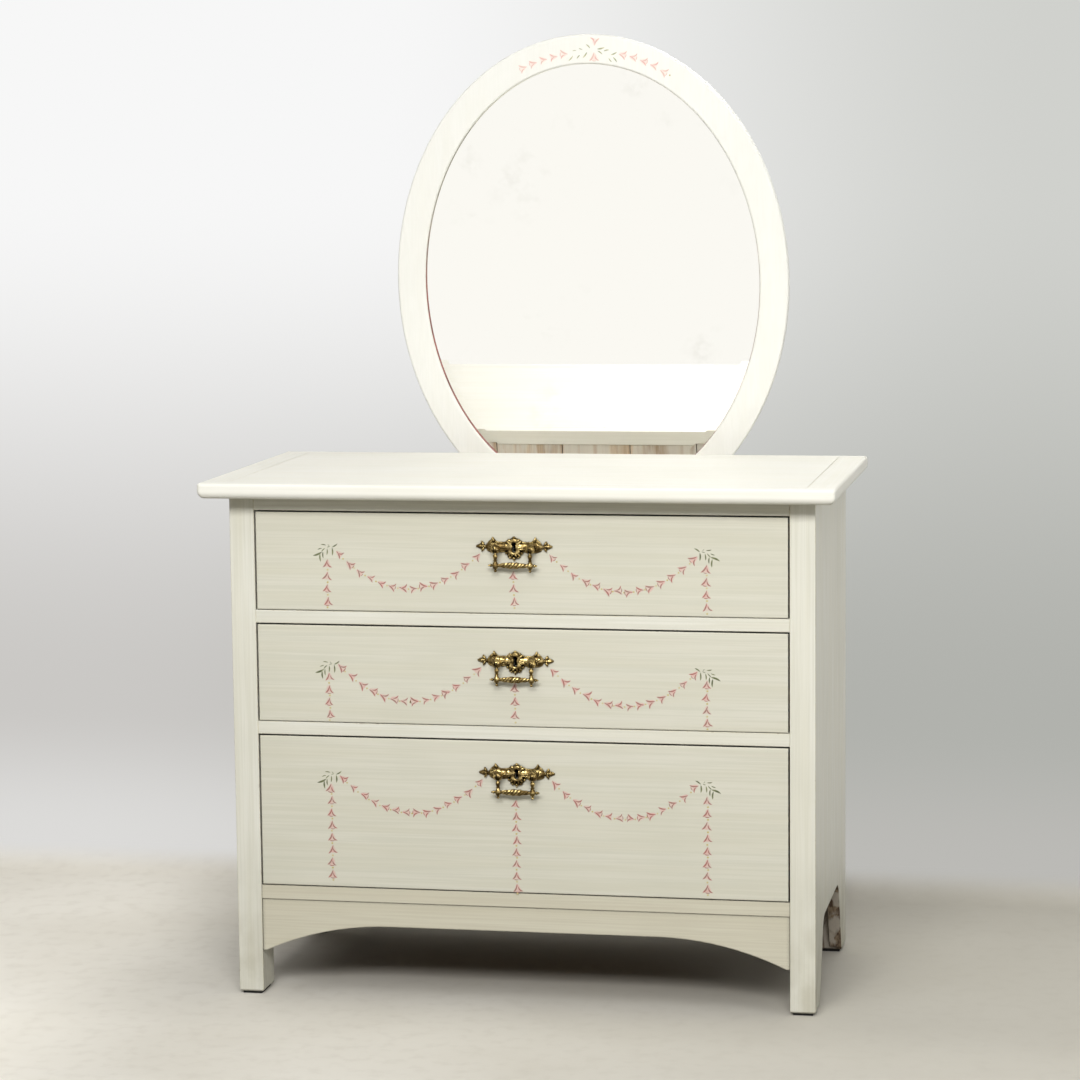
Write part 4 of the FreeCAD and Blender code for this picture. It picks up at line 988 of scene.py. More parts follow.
            leaf(ray, sign * 2.2, -9.6, -90 + sign * 12, 1.4)
            leaf(short, sign * 9.4, -9.6, 90 - sign * 70, 0.9)
            knot(sign * 12.6, -9.2, 0.86, 0.4)
            knot(sign * 6.6, -16.2, 0.8, 0.2)
        knot(0, 14.6, 1.0, 0.6)
        knot(0, -17.4, 1.0, 0.6)
        knot(0, -20.2, 0.6)
        remove(wide, curl, spike, ray, short, bead, roll, bar)
        return join("handle_plate", parts)

    def knobs(self) -> Piece:
        """Turn both knobs, slotted for the bail's arms, with their shanks and nuts.

        Returns:
            The knobs as one piece.
        """
        out, ball, back = self.knob_out, self.knob_radius, self.front_thick
        rings = [(2.5, -back - 8.0), (2.5, 2.4), (4.4, 2.6), (4.4, 5.4), (5.2, 6.2), (4.4, 7.0),
                 (3.7, 8.0)]
        rings += [(ball * math.cos(angle), out + ball * math.sin(angle))
                  for angle in map(math.radians, range(-58, 81, 12))]
        rings += [(1.2, out + ball + 0.1), (1.5, out + ball + 0.5), (0.3, out + ball + 0.9)]
        knob = turned("knob", rings, 32)
        for vertex in knob.data.vertices:
            if vertex.co.z > (out - ball) * MM:
                around = math.atan2(vertex.co.y, vertex.co.x)
                swell = 1 + 0.055 * math.cos(self.knob_flutes * around)
                vertex.co.x *= swell
                vertex.co.y *= swell
        settle(knob, turn=(90, 0, 0))
        slot_half, cavity_radius = self.barrel_half + 0.35, self.barrel_radius + 0.25
        cavity = settle(turned("cavity", [(cavity_radius, -slot_half),
                                          (cavity_radius, slot_half)], 28),
                        turn=(0, 90, 0), place=(0, -out * MM, 0))
        low_y, high_y, low_z = -(out + ball + 4), -(out - self.arm_room), -(ball + 3)
        slot = settle(primitive("slot", "cube", size=1),
                      scale=(2 * slot_half * MM, (high_y - low_y) * MM,
                             (self.arm_room - low_z) * MM),
                      place=(0, (low_y + high_y) / 2 * MM, (self.arm_room + low_z) / 2 * MM))
        for tool in (cavity, slot):
            apply_modifier(knob, "BOOLEAN", operation="DIFFERENCE", object=tool, solver="EXACT")
        smooth(knob, 40)
        nut = settle(turned("nut", [(5.2, back), (6.0, back + 0.6), (6.0, back + 4.4),
                                    (5.2, back + 5.0)], 6), turn=(-90, 0, 0))
        parts = [stamp(piece, shifted(sign * self.knob_reach, 0, -self.knob_drop))
                 for sign in (-1, 1) for piece in (knob, nut)]
        remove(knob, cavity, slot, nut)
        return join("handle_knobs", parts)

    def twisted_bar(self) -> Piece:
        """Twist the bail's bar with its leaf ridges, thickest at the middle.

        Returns:
            The bar along X, with its middle at the origin.
        """
        half = self.knob_reach * MM
        bar = settle(primitive("bar", "circle", vertices=16, radius=1.0, fill_type="NGON"),
                     turn=(0, 90, 0))
        for number, vertex in enumerate(bar.data.vertices):
            vertex.co *= self.bar_ridges[number % len(self.bar_ridges)] * MM
            vertex.co.x = -half
        bpy.ops.object.mode_set(mode="EDIT")
        bpy.ops.mesh.select_all(action="SELECT")
        thick = 1.0
        for step in range(1, self.bar_steps + 1):
            place = -1 + 2 * step / self.bar_steps
            wanted = 0.85 + 0.72 * math.cos(math.pi / 2 * place) ** 2
            extrude(2 * half / self.bar_steps, 0, 0)
            centre = (place * half, 0, 0)
            bpy.ops.transform.rotate(value=math.radians(self.bar_twist), orient_axis="X",
                                     center_override=centre)
            bpy.ops.transform.resize(value=(1, wanted / thick, wanted / thick),
                                     center_override=centre)
            thick = wanted
        bpy.ops.object.mode_set(mode="OBJECT")
        face_outward(bar)
        smooth(bar, 70)
        return bar

    def bail(self) -> Piece:
        """Put the bail together: two turned arms on pins, the twisted bar and its finials.

        Returns:
            The bail, hanging at rest.
        """
        half, radius = self.barrel_half, self.barrel_radius
        arm = turned("arm", [(ring, height - self.bar_drop) for ring, height in self.arm_foot]
                     + list(self.arm_head))
        finial = turned("finial", self.finial, 18)
        pin = turned("pin", [
            (1.5, -6.5), (1.5, -half), (radius - 0.4, -half), (radius, 0.4 - half),
            (radius, half - 0.4), (radius - 0.4, half), (1.5, half), (1.5, 6.5)], 28)
        bar = self.twisted_bar()
        down = shifted(0, 0, -self.bar_drop)
        parts = []
        for sign in (-1, 1):
            side = shifted(sign * self.knob_reach, 0, 0)
            parts += [stamp(arm, side), stamp(pin, side @ rotated(90, "Y")),
                      stamp(finial, side @ down @ rotated(sign * 90, "Y"))]
        parts.append(stamp(bar, down))
        remove(arm, finial, pin, bar)
        bail = join("handle_bail", parts)
        bail.data.transform(shifted(0, -self.knob_out, -self.knob_drop))
        return bail

    def build(self) -> None:
        """Model the three templates in brass."""
        self.templates = {"plate": self.plate(), "posts": self.knobs(), "bail": self.bail()}
        for template in self.templates.values():
            dress(template, self.finishes["brass"])

    def fit(self, number: int, centre: Vector) -> None:
        """Put a copy of the handle on a drawer.

        Args:
            number: the drawer's number.
            centre: the keyhole's centre on the drawer's front face.
        """
        for part, template in self.templates.items():
            piece = stamp(template, Matrix.Translation(centre))
            piece.name = f"handle_{number}_{part}_cast"
            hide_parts(f"handle_{number}_{part}")
            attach(piece, f"bail_{number}" if part == "bail" else f"drawer_{number}")
            report(piece)

    def clear(self) -> None:
        """Remove the templates."""
        remove(*self.templates.values())


# ------------------------------------------------------------------ painted ornament

@dataclass(frozen=True)
class DrawerPattern:
    """Where one drawer's painted pattern hangs, in millimetres below its keyhole's centre."""

    sprig_drop: float
    bells: int
    left_drop: float
    right_drop: float
    inner_bells: int
    inner_drop: float
    inner_pitch: float


@dataclass
class SwagPainter:
    """Brush-painted bellflower swags, a traditional ornament, as thin raised strokes.

    Patterns are laid in a flat frame: X across, Z up and -Y off the surface, in millimetres.
    """

    finishes: Finishes
    film: float = 0.16
    bell_length: float = 13.0
    bell_mouth: float = 14.2
    seed: int = 11
    string_reach: float = 301.0
    string_pitch: float = 19.9
    swag_middle: float = 171.0
    swag_half: float = 111.0
    swag_top: float = -15.5
    swag_sag: float = 52.5
    swag_bells: int = 14
    crown_middle: float = 2.3
    crown_gap: float = 9.2
    crown_pitch: float = 3.4
    crown_bells: int = 5
    sprig_leaves: tuple[tuple[Pair, Pair], ...] = (
        ((-0.4, 3.4), (-9.2, 4.5)), ((5.1, 2.3), (2.2, 5.2)), ((9.0, 0.4), (18.2, 6.4)),
        ((9.2, -0.2), (9.4, -13.2)), ((-7.0, -1.4), (-14.4, -3.8)), ((1.2, -1.8), (0.4, -12.4)),
        ((-5.6, -6.8), (-5.2, -17.6)), ((-7.0, -7.2), (-22.4, -13.4)),
        ((-10.4, -9.8), (-9.4, -23.2)), ((1.0, 0.0), (6.4, 1.4)), ((-2.0, -1.2), (-8.0, -7.0)))
    crown_leaves: tuple[tuple[Pair, Pair], ...] = (
        ((-4.7, 1.9), (-12.1, 9.3)), ((-17.8, 0.6), (-24.6, 3.0)), ((-28.6, -0.9), (-35.5, -1.9)),
        ((-10.3, -3.7), (-18.1, -13.6)), ((-22.4, -8.4), (-28.2, -15.2)),
        ((-34.6, -9.3), (-42.6, -18.3)), ((6.5, 0.9), (20.0, 3.7)), ((17.8, -2.8), (28.0, -0.9)),
        ((29.9, -9.3), (41.1, -4.3)), ((7.5, -1.9), (15.9, -8.4)), ((26.2, -14.0), (31.8, -21.5)),
        ((33.6, -13.0), (40.2, -21.9)))
    templates: dict[str, Piece] = field(default_factory=dict)
    laid: dict[str, list[Piece]] = field(default_factory=dict)

    def stroke_template(self, name: str, widths: Sequence[float], bow: float,
                        rim_film: float = 0.0) -> Piece:
        """One brush stroke of unit length along +X.

        Args:
            name: the template's name.
            widths: half widths at even stations, as shares of the length.
            bow: how far the stroke's middle bends towards +Z, as a share of the length.
            rim_film: how much colour lies at the stroke's sides, where 1 covers.

        Returns:
            A flat stroke with the colour's thickness in its film attribute.
        """
        spans = len(widths) - 1
        piece = settle(primitive(name, "grid", x_subdivisions=1, y_subdivisions=2, size=1),
                       turn=(90, 0, 0))
        for vertex in piece.data.vertices:
            vertex.co.x = 0.0 if vertex.co.x < 0 else 1 / spans
        bpy.ops.object.mode_set(mode="EDIT")
        for _ in range(spans - 1):
            bpy.ops.mesh.select_all(action="DESELECT")
            bpy.ops.object.mode_set(mode="OBJECT")
            reach = max(vertex.co.x for vertex in piece.data.vertices)
            for edge in piece.data.edges:
                edge.select = min(piece.data.vertices[end].co.x
                                  for end in edge.vertices) > reach - 1e-4
            bpy.ops.object.mode_set(mode="EDIT")
            bpy.ops.mesh.select_mode(type="EDGE")
            extrude(1 / spans, 0, 0)
        bpy.ops.mesh.select_mode(type="VERT")
        bpy.ops.object.mode_set(mode="OBJECT")
        film = piece.data.attributes.new("film", "FLOAT", "POINT")
        for vertex in piece.data.vertices:
            station = round(vertex.co.x * spans)
            side, along = round(2 * vertex.co.z), station / spans
            vertex.co.z = side * widths[station] + bow * 4 * along * (1 - along)
            vertex.co.y = 0
            film.data[vertex.index].value = rim_film if side else min(
                1.0, 0.35 + 4 * along, 0.25 + 4 * (1 - along))
        return piece

    def build(self) -> None:
        """Model the strokes that every pattern is laid from."""
        shapes = {"stroke": ((0.03, 0.08, 0.10, 0.11, 0.10, 0.04), 0.10),
                  "flick": ((0.03, 0.09, 0.12, 0.13, 0.12, 0.04), 0.20),
                  "rim": ((0.04, 0.09, 0.11, 0.10, 0.08, 0.03), -0.12),
                  "wash": ((0.14, 0.27, 0.38, 0.47, 0.55, 0.46), 0.0),
                  "leaf": ((0.02, 0.08, 0.11, 0.11, 0.08, 0.015), 0.06, 0.15),
                  "dot": ((0.18, 0.42, 0.5, 0.42, 0.18), 0.0, 0.3)}
        self.templates = {name: self.stroke_template(f"{name}_template", *shape)
                          for name, shape in shapes.items()}
        self.dice = random.Random(self.seed)

    def lay(self, kind: str, colour: str, place: Matrix, start: Pair, end: Pair,
            flip: bool = False) -> None:
        """Lay one stroke between two points of the flat frame.

        Each stroke of a colour lies a hair higher than the last few, as wet strokes do where
        they cross.

        Args:
            kind: the template's name.
            colour: the name of the finish, which also gathers the strokes into one piece.
            place: the flat frame's place in the scene.
            start: where the brush is set down.
            end: where it is lifted.
            flip: bend the stroke to the other side.
        """
        strokes = self.laid.setdefault(colour, [])
        lift = 0.012 * (len(strokes) % 5) + (0.0 if colour.endswith("wash") else 0.07)
        across, up = end[0] - start[0], end[1] - start[1]
        length = math.hypot(across, up) * MM
        local = (shifted(start[0], -lift, start[1])
                 @ Matrix.Rotation(-math.atan2(up, across), 4, "Y")
                 @ Matrix.Diagonal((length, 1, -length if flip else length, 1)))
        strokes.append(stamp(self.templates[kind], place @ local))

    def bell(self, place: Matrix, tip: Pair, heading: float, scale: float = 1.0,
             colours: str = "petal") -> None:
        """Paint one bellflower.

        Args:
            place: the flat frame's place.
            tip: where its tip is.
            heading: the direction that it opens in, in degrees from +X towards +Z.
            scale: its size.
            colours: which pair of finishes it is painted with.
        """
        angle = math.radians(heading)

        def at(along: float, aside: float) -> Pair:
            """A point of the bell, with a little of the hand's unevenness."""
            along, aside = along * scale, (aside + self.dice.uniform(-0.9, 0.9)) * scale
            return (tip[0] + along * math.cos(angle) - aside * math.sin(angle),
                    tip[1] + along * math.sin(angle) + aside * math.cos(angle))

        length, half, stroke = self.bell_length, self.bell_mouth / 2, f"{colours}_stroke"
        self.lay("wash", f"{colours}_wash", place, at(0.3, 0), at(length * 0.96, 0))
        self.lay("stroke", stroke, place, at(0, 0.5), at(length, -half))
        self.lay("flick", stroke, place, at(length * 0.30, 0.8),
                 at(length * 0.98, half * 1.08), True)
        if self.dice.random() < 0.6:
            self.lay("rim", stroke, place, at(length * 0.94, -half * 0.62),
                     at(length * 0.96, half * 0.5))

    def dot(self, place: Matrix, x: float, z: float, size: float = 3.3) -> None:
        """Paint one dot."""
        self.lay("dot", "pollen", place, (x - size / 2, z), (x + size / 2, z))

    def string(self, place: Matrix, x: float, top: float, count: int, pitch: float) -> None:
        """Paint a straight string of bells that hangs down and ends in a dot.

        Args:
            place: the flat frame's place.
            x: where it hangs.
            top: the height of its first tip.
            count: how many bells it has.
            pitch: the way from bell to bell.
        """
        for number in range(count):
            z = top - number * pitch
            self.bell(place, (x, z), -90 + self.dice.uniform(-7, 7),
                      self.dice.uniform(0.94, 1.08))
            self.dot(place, x + self.dice.uniform(-0.8, 0.8), z - pitch + 3.2)

    def swag(self, place: Matrix, centre: float) -> None:
        """Paint a hanging swag whose bells open towards its lowest point.

        Args:
            place: the flat frame's place.
            centre: the swag's middle.
        """
        for number in range(self.swag_bells):
            share = -1 + 2 * number / (self.swag_bells - 1)
            x = centre + self.swag_half * share
            z = self.swag_top - self.swag_sag * (1 - share * share)
            slope = math.degrees(math.atan2(2 * self.swag_sag * share, self.swag_half))
            heading = slope if share < 0 else slope + 180
            back = math.radians(heading)
            along, up = self.bell_length * math.cos(back), self.bell_length * math.sin(back)
            self.bell(place, (x - 0.5 * along, z - 0.5 * up),
                      heading + self.dice.uniform(-12, 12), self.dice.uniform(0.86, 1.06))
            if number != self.swag_bells // 2:
                self.dot(place, x + 0.72 * along, z + 0.72 * up - 0.6, 2.9)

    def leaves(self, colour: str, place: Matrix, centre: Pair, side: int,
               fan: Sequence[tuple[Pair, Pair]]) -> None:
        """Paint a fan of leaves.

        Args:
            colour: the name of the finish.
            place: the flat frame's place.
            centre: the fan's centre.
            side: 1, or -1 where the fan is mirrored.
            fan: each leaf's root and tip, from the centre.
        """
        for number, (root, tip) in enumerate(fan):
            self.lay("leaf", colour, place, (centre[0] + side * root[0], centre[1] + root[1]),
                     (centre[0] + side * tip[0], centre[1] + tip[1]), number % 2 == 0)

    def finish_patch(self, name: str, body: str) -> None:
        """Join the laid strokes into one piece per colour and let them ride on a body.

        Args:
            name: the start of the pieces' names.
            body: the body that they move with.
        """
        for colour, strokes in self.laid.items():
            piece = join(f"{name}_{colour}", strokes)
            dress(piece, self.finishes[colour])
            apply_modifier(piece, "SOLIDIFY", thickness=self.film * MM, offset=0.0)
            face_outward(piece)
            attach(piece, body)
            report(piece)
        self.laid = {}

    def paint_drawer(self, number: int, place: Matrix, pattern: DrawerPattern) -> None:
        """Paint a drawer front.

        Args:
            number: the drawer's number.
            place: the keyhole's centre on the drawer's front face.
            pattern: where the pattern hangs.
        """
        for side, drop in ((-1, pattern.left_drop), (1, pattern.right_drop)):
            across = side * self.string_reach
            self.leaves("leaf", place, (across - 1.0, -pattern.sprig_drop), -side,
                        self.sprig_leaves)
            self.string(place, across, -drop, pattern.bells, self.string_pitch)
            self.swag(place, side * self.swag_middle)
        self.string(place, -1.8, -pattern.inner_drop, pattern.inner_bells, pattern.inner_pitch)
        self.finish_patch(f"drawer_{number}_painted", f"drawer_{number}")

    def paint_mirror(self, place: Matrix, half_width: float, half_height: float) -> None:
        """Paint the crown of the mirror frame.

        Args:
            place: the mirror's flat frame, at its centre on the frame's front face.
            half_width: the painted oval's half width.
            half_height: the painted oval's half height.
        """
        def on_oval(angle: float, rise: float = 0.0) -> Pair:
            """A point on the painted oval, by its angle from the top."""
            turn = math.radians(angle)
            return (half_width + rise) * math.sin(turn), (half_height + rise) * math.cos(turn)

        star_x, star_z = on_oval(self.crown_middle)
        self.bell(place, (star_x + 2.4, star_z + 6.6), 84, 1.0, "crown")
        self.bell(place, (star_x + 2.0, star_z - 4.4), -90, 1.1, "crown")
        self.leaves("crown_leaf", place, (star_x, star_z), 1, self.crown_leaves)
        for side, rise in ((-1, -5.0), (1, -1.0)):
            for number in range(self.crown_bells):
                angle = self.crown_middle + side * (self.crown_gap + self.crown_pitch * number)
                x, z = on_oval(angle, rise)
                heading = -angle if side > 0 else 180 - angle
                back = math.radians(heading)
                self.bell(place, (x - 6 * math.cos(back), z - 6 * math.sin(back)),
                          heading + self.dice.uniform(-6, 6), 0.98, "crown")
        self.dot(place, *on_oval(self.crown_middle + 25.0, -1.0), 3.0)
        self.finish_patch("mirror_painted", "mirror")

    def clear(self) -> None:
        """Remove the templates."""
        remove(*self.templates.values())


# ------------------------------------------------------------------ mirror

@dataclass
class OvalMirror:
    """The leaning mirror: its frame's local place, its sight edge and its painted crown."""

    finishes: Finishes
    lean: float = 4.5
    half_width_mm: float = 338.7
    half_height_mm: float = 420.3
    frame_width_mm: float = 49.0
    face_mm: float = 12.0
    glass_face_mm: float = 4.8
    edge_round_mm: float = 3.0
    liner_thick_mm: float = 0.5
    painted_half_width_mm: float = 311.0
    painted_half_height_mm: float = 395.0

    def place(self) -> Matrix:
        """Find the mirror's own frame in the scene.

        Returns:
            Its matrix, with the origin at the centre of the glass's back face.
        """
        turn = rotated(self.lean, "X")
        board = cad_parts["mirror_frame"]
        points = [turn.inverted() @ board.matrix_world @ vertex.co
                  for vertex in board.data.vertices]
        across, up = ((min(point[axis] for point in points)
                       + max(point[axis] for point in points)) / 2 for axis in (0, 2))
        face = min(point.y for point in points)
        return turn @ Matrix.Translation((across, face + self.face_mm * MM, up))

    def sight_liner(self) -> None:
        """The stained wall of the frame's opening, from its rounded edge down to the glass."""
        depth = (self.face_mm - self.edge_round_mm - self.glass_face_mm) * MM
        liner = settle(primitive("mirror_sight_liner", "cylinder", vertices=160, radius=1.0,
                                 depth=depth, end_fill_type="NOTHING"), turn=(90, 0, 0))
        settle(liner, scale=((self.half_width_mm - self.frame_width_mm) * MM, 1,
                             (self.half_height_mm - self.frame_width_mm) * MM))
        middle = -(self.glass_face_mm * MM + depth / 2)
        liner.data.transform(self.place() @ Matrix.Translation((0, middle, 0)))
        apply_modifier(liner, "SOLIDIFY", thickness=self.liner_thick_mm * MM, offset=-1.0)
        smooth(liner, 50)
        dress(liner, self.finishes["sight_wood"])
        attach(liner, "mirror")
        report(liner)

    def build(self, painter: SwagPainter) -> None:
        """Add the sight edge and paint the crown on the frame's front face."""
        self.sight_liner()
        painter.paint_mirror(self.place() @ shifted(0, -self.face_mm, 0),
                             self.painted_half_width_mm, self.painted_half_height_mm)


# ------------------------------------------------------------------ chest

@dataclass
class Chest:
    """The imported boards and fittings, which keep their shape and get their finishes here.

    Each finish lists the nodes that take it, where a star stands for any letters, and the
    first match counts.
    """

    finishes: Finishes
    taken_by: dict[str, tuple[str, ...]] = field(default_factory=lambda: {
        "end_board": ("top_end_boards",),
        "top": ("top_*",),
        "back_upright": ("back_leg*", "side_panel*"),
        "upright": ("front_leg*", "mirror_post*"),
        "low_rail": ("front_bottom_rail", "front_apron"),
        "rail": ("front_top_rail", "drawer_rail*", "stand_spacers", "mirror_batten"),
        "drawer": ("drawer_*_front",),
        "oval": ("mirror_frame",),
        "mirror": ("mirror_glass",),
        "plywood": ("mirror_backboard", "drawer_*_bottom"),
        "pine_z": ("back_boards",),
        "pine_y": ("drawer_runners", "drawer_stops", "drawer_*_sides"),
        "pine_x": ("back_rails", "glue_blocks", "drawer_*_back"),
        "lock_steel": ("drawer_*_lock_case", "drawer_*_lock_bolt"),
        "zinc": ("mirror_clips", "mirror_lugs", "tilt_brackets", "tilt_bolts", "stand_bolts"),
        "pad": ("leg_pads",),
        "brass": ("handle_*",)})

    def finish_of(self, node: str) -> bpy.types.Material:
        """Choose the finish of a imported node.

        Args:
            node: the node's name.

        Returns:
            Its material.
        """
        for finish, patterns in self.taken_by.items():
            for start, _, end in (pattern.partition("*") for pattern in patterns):
                if node.startswith(start) and node.endswith(end):
                    return self.finishes[finish]
        raise LookupError(f"no finish is listed for {node}")

    def build(self) -> None:
        """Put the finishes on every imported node."""
        for name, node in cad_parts.items():
            material = self.finish_of(name)
            for place in node.material_slots:
                place.material = material
            LOG.info("%s: %s", name, material.name)


# ------------------------------------------------------------------ studio

@dataclass(frozen=True)
class StudioPaper(Finish):
    """Seamless studio paper above a concrete floor, pale in view and lit for its shadows.

    It is seen from its front only, so that the dresser shows from behind the wall too.
    """

    # Several colours below are painted light, shade, shadow and reflection, not the paper's own
    # tone.
    floor: str = "#DCD8CE"
    mottle: str = "#CFCABE"
    grit: str = "#C3BDB1"
    floor_shaded: str = "#B9B5AA"
    floor_painted_shadow: str = "#7C776E"
    floor_bounce: str = "#8A877F"
    floor_mirrored: str = "#5A5346"
    wall_mirrored: str = "#FDFCF9"
    wall_light: str = "#F7F7F7"
    wall_shaded: str = "#D0D1CD"
    low_light: str = "#CAC8C5"
    low_shaded: str = "#B1B2AD"
    foot_light: str = "#DCDBD9"
    foot_shaded: str = "#BBBAB6"

    def lay(self, graph: Graph) -> None:
        """Lay the floor and the wall, each as it is seen, mirrored and lit.

        Args:
            graph: the material's empty graph.
        """
        x, y, z = graph.axes()
        floor = graph.over(self.floor, self.mottle, graph.noise(0.35, 4.0), 0.35, 0.7, 0.5)
        floor = graph.over(floor, self.grit, graph.noise(0.03, 3.0, 2.0), 0.45, 0.75, 0.25)
        floor = graph.over(floor, self.floor_shaded, x, -0.3, 0.6, 0.6)
        # Painted shadow under the dresser: the floor darkens within its footprint.
        beside = graph.add_node("Math", {0: x}, operation="ABSOLUTE")[0]
        below = graph.product(graph.ranged(y, -0.34, -0.05),
                              graph.ranged(beside, 0.46, 0.34, 0.0, 0.7))
        floor = graph.mix(below, floor, self.floor_painted_shadow)
        # Painted light and shade on the wall: pale high up, a darker band low down and a lighter
        # foot, all darker to the right.
        high = graph.over(self.wall_light, self.wall_shaded, x, -0.5, 0.8)
        low = graph.over(self.low_light, self.low_shaded, x, -1.1, 0.45)
        foot = graph.over(self.foot_light, self.foot_shaded, x, -1.1, 0.45)
        wall = graph.over(graph.over(low, high, z, 0.3, 1.3), foot, z, 0.28, 0.04)
        rise = graph.ranged(z, 0.0005, 0.035)
        colour = graph.mix(rise, floor, wall)
        ray = graph.add_node("LightPath")
        bounced = graph.mix(ray["Is Diffuse Ray"], colour,
                            graph.mix(rise, self.floor_bounce, wall))
        # Painted light: the floor glows for the camera only, more towards the left and the front.
        glow = graph.product(graph.ranged(x, -0.48, -0.85, 0.0, 0.33),
                             graph.ranged(y, -0.33, -0.55, 0.0, 0.08), "ADD")
        painted_floor_light = graph.add_node("Emission", {
            "Color": colour, "Strength": graph.product(glow, ray["Is Camera Ray"])})
        matt = graph.add_node("BsdfDiffuse", {"Color": bounced})
        lit = graph.add_node("AddShader", {0: matt[0], 1: painted_floor_light[0]})
        # The wall glows for the camera with its painted light and shade, while the floor is lit.
        glowing_wall = graph.add_node("Emission", {"Color": colour})
        seen = self.either(graph, graph.product(ray["Is Camera Ray"], rise), lit, glowing_wall)
        # Painted reflection: reflections see the wall and far floor glowing near-white, the floor
        # near the dresser dark.
        low_near = graph.product(graph.ranged(y, -2.6, -1.8), rise, "SUBTRACT")
        painted_reflection = graph.add_node("Emission", {
            "Color": graph.over(self.wall_mirrored, self.floor_mirrored, low_near, 0.0, 1.0)})
        mirrored = graph.product(ray["Is Glossy Ray"], ray["Is Transmission Ray"], "MAXIMUM")
        both = self.either(graph, mirrored, seen, painted_reflection)
        behind = graph.add_node("NewGeometry")["Backfacing"]
        clear = graph.add_node("BsdfTransparent")
        graph.add_node("OutputMaterial",
                       {"Surface": self.either(graph, behind, both, clear)[0]})

    def either(self, graph: Graph, share: Socket, first: bpy.types.bpy_prop_collection,
               second: bpy.types.bpy_prop_collection) -> bpy.types.bpy_prop_collection:
        """Mix two shaders, each given by its node's outputs."""
        return graph.add_node("MixShader", {0: share, 1: first[0], 2: second[0]})


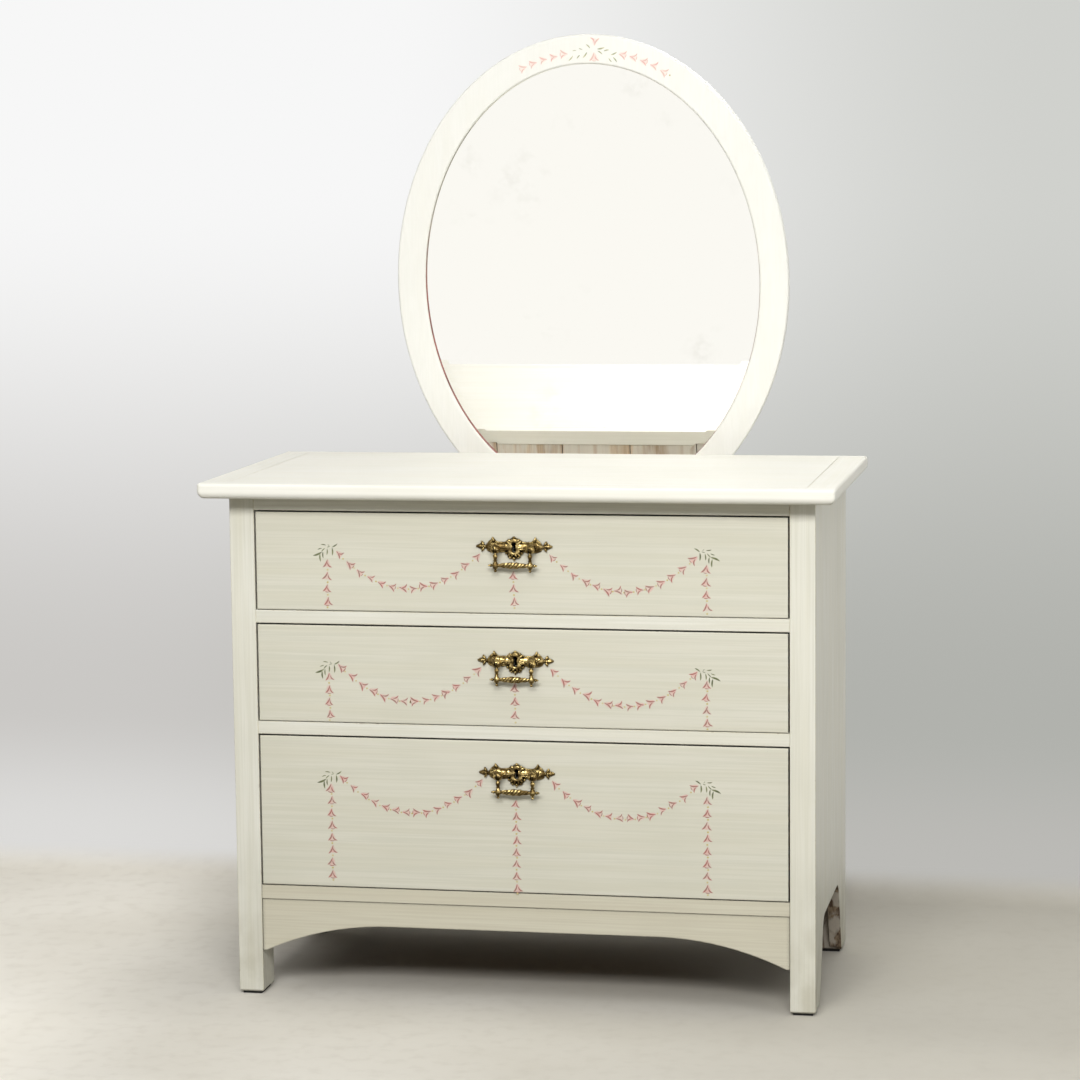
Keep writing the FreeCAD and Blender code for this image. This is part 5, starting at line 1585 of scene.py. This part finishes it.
@dataclass
class Studio:
    """Pale sweep, soft lamps and the camera."""

    front_y: float
    camera_x: float = 0.9892
    camera_reach: float = 4.8696
    camera_z: float = 1.3492
    camera_yaw: float = 11.08
    camera_pitch: float = 6.984
    camera_roll: float = 0.61
    camera_sight: float = 60.0
    lens_mm: float = 107.37
    sensor_mm: float = 36.0
    sweep_half: float = 7.0
    sweep_back: float = 0.72
    sweep_height: float = 4.5
    sweep_bend: float = 0.25
    rear_drop: float = 0.4 * MM
    fill_light: float = 0.20
    fill: str = "#FFFFFF"
    sky: str = "#FDFCF9"
    painted_dark_sky_above: str = "#4A4844"

    def camera(self) -> None:
        """Set the camera at its place, looking slightly down and to the left."""
        deselect()
        bpy.ops.object.camera_add(
            location=(self.camera_x, self.front_y - self.camera_reach, self.camera_z))
        camera = bpy.context.object
        camera.data.lens = self.lens_mm
        camera.data.sensor_width = self.sensor_mm
        camera.data.clip_end = self.camera_sight
        turn = (rotated(self.camera_yaw, "Z") @ rotated(90 - self.camera_pitch, "X")
                @ rotated(-self.camera_roll, "Z"))
        camera.rotation_euler = turn.to_euler()
        bpy.context.scene.camera = camera

    def sweep(self) -> None:
        """A floor that curves up into a wall, and the floor behind that wall."""
        half, back, bend = self.sweep_half, self.sweep_back, self.sweep_bend
        sweep = settle(primitive("studio_sweep", "plane", size=1),
                       scale=(2 * half, half + back, 1), place=(0, (back - half) / 2, 0))
        rear_most = [vertex.co.y > back - 1e-4 for vertex in sweep.data.vertices]
        for edge in sweep.data.edges:
            edge.select = all(rear_most[end] for end in edge.vertices)
        for vertex in sweep.data.vertices:
            vertex.select = rear_most[vertex.index]
        for face in sweep.data.polygons:
            face.select = False
        bpy.ops.object.mode_set(mode="EDIT")
        extrude(0, 0, self.sweep_height)
        bpy.ops.object.mode_set(mode="OBJECT")
        apply_modifier(sweep, "BEVEL", width=bend, segments=24, limit_method="ANGLE",
                       angle_limit=math.radians(30))
        smooth(sweep, 30)
        rear = settle(primitive("studio_rear_floor", "plane", size=1),
                      scale=(2 * half, half, 1),
                      place=(0, back - 2 * bend + half / 2, -self.rear_drop))
        paper = StudioPaper("Pale studio sweep").build()
        for piece in (sweep, rear):
            dress(piece, paper)

    def lamp(self, name: str, place: Point, target: Point, size: Pair, power: float) -> None:
        """Hang one soft rectangular lamp.

        Args:
            name: the lamp's name.
            place: where it hangs.
            target: what it points at.
            size: its width and height.
            power: its power in watts.
        """
        deselect()
        bpy.ops.object.light_add(type="AREA", location=place)
        lamp = bpy.context.object
        lamp.name = name
        lamp.data.shape = "RECTANGLE"
        lamp.data.size, lamp.data.size_y = size
        lamp.data.energy = power
        direction = Vector(target) - Vector(place)
        lamp.rotation_euler = direction.to_track_quat("-Z", "Y").to_euler()

    def world(self) -> None:
        """An even pale surround that fills the shadows; reflections see it painted dark above."""
        world = bpy.data.worlds.new("Studio surround")
        bpy.context.scene.world = world
        world.use_nodes = True
        graph = Graph(world.node_tree)
        ray = graph.add_node("LightPath")
        seen = graph.product(ray["Is Camera Ray"], ray["Is Glossy Ray"], "MAXIMUM")
        clear = graph.product(seen, ray["Is Transmission Ray"], "MAXIMUM")
        fill = graph.add_node("Background", {"Color": self.fill, "Strength": self.fill_light})
        # Painted reflection: glossy rays see the sky dark above, and the camera sees it pale.
        high = graph.ranged(graph.axes("Generated")["Z"], 0.12, 0.45)
        unlit = graph.product(high, ray["Is Glossy Ray"])
        view = graph.add_node("Background", {"Color": graph.mix(unlit, self.sky, self.painted_dark_sky_above)})
        both = graph.add_node("MixShader", {0: clear, 1: fill[0], 2: view[0]})
        graph.add_node("OutputWorld", {"Surface": both[0]})

    def build(self) -> None:
        """Set up the camera, the sweep, the lamps and the surround."""
        bpy.context.scene.view_settings.view_transform = "Standard"
        self.camera()
        self.sweep()
        self.lamp("front_lamp", (0.43, -4.2, 2.8), (0.0, 0.0, 0.8), (3.0, 1.0), 168.0)
        self.lamp("top_lamp", (-0.2, -1.5, 3.0), (0.0, -0.1, 0.7), (1.6, 1.2), 11.0)
        self.lamp("side_lamp", (3.2, -1.6, 1.6), (0.3, 0.0, 0.5), (1.4, 1.6), 21.0)
        self.lamp("back_lamp", (0.3, 0.62, 1.75), (0.0, 0.16, 0.75), (1.2, 0.15), 3.6)
        self.world()


# ------------------------------------------------------------------ whole

KEY_DROP = 50.5 * MM
PATTERNS = (DrawerPattern(4.8, 4, 23.5, 23.5, 3, 38.0, 20.4),
            DrawerPattern(11.9, 4, 24.5, 24.5, 3, 34.8, 22.0),
            DrawerPattern(10.1, 8, 24.5, 28.4, 8, 42.2, 19.2))


def main() -> None:
    """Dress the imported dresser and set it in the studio."""
    logging.basicConfig(level=logging.INFO, format="%(message)s")
    finishes = Finishes()
    front_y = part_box("front_leg_left")[0].y
    Chest(finishes).build()

    handle = DropHandle(finishes)
    handle.build()
    painter = SwagPainter(finishes)
    painter.build()
    for number, pattern in enumerate(PATTERNS, start=1):
        low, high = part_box(f"handle_{number}_bail")
        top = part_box(f"drawer_{number}_front")[1].z
        centre = Vector(((low.x + high.x) / 2, front_y, top - KEY_DROP))
        handle.fit(number, centre)
        painter.paint_drawer(number, Matrix.Translation(centre), pattern)
    handle.clear()
    OvalMirror(finishes).build(painter)
    painter.clear()
    Studio(front_y).build()


if __name__ == "__main__":
    main()
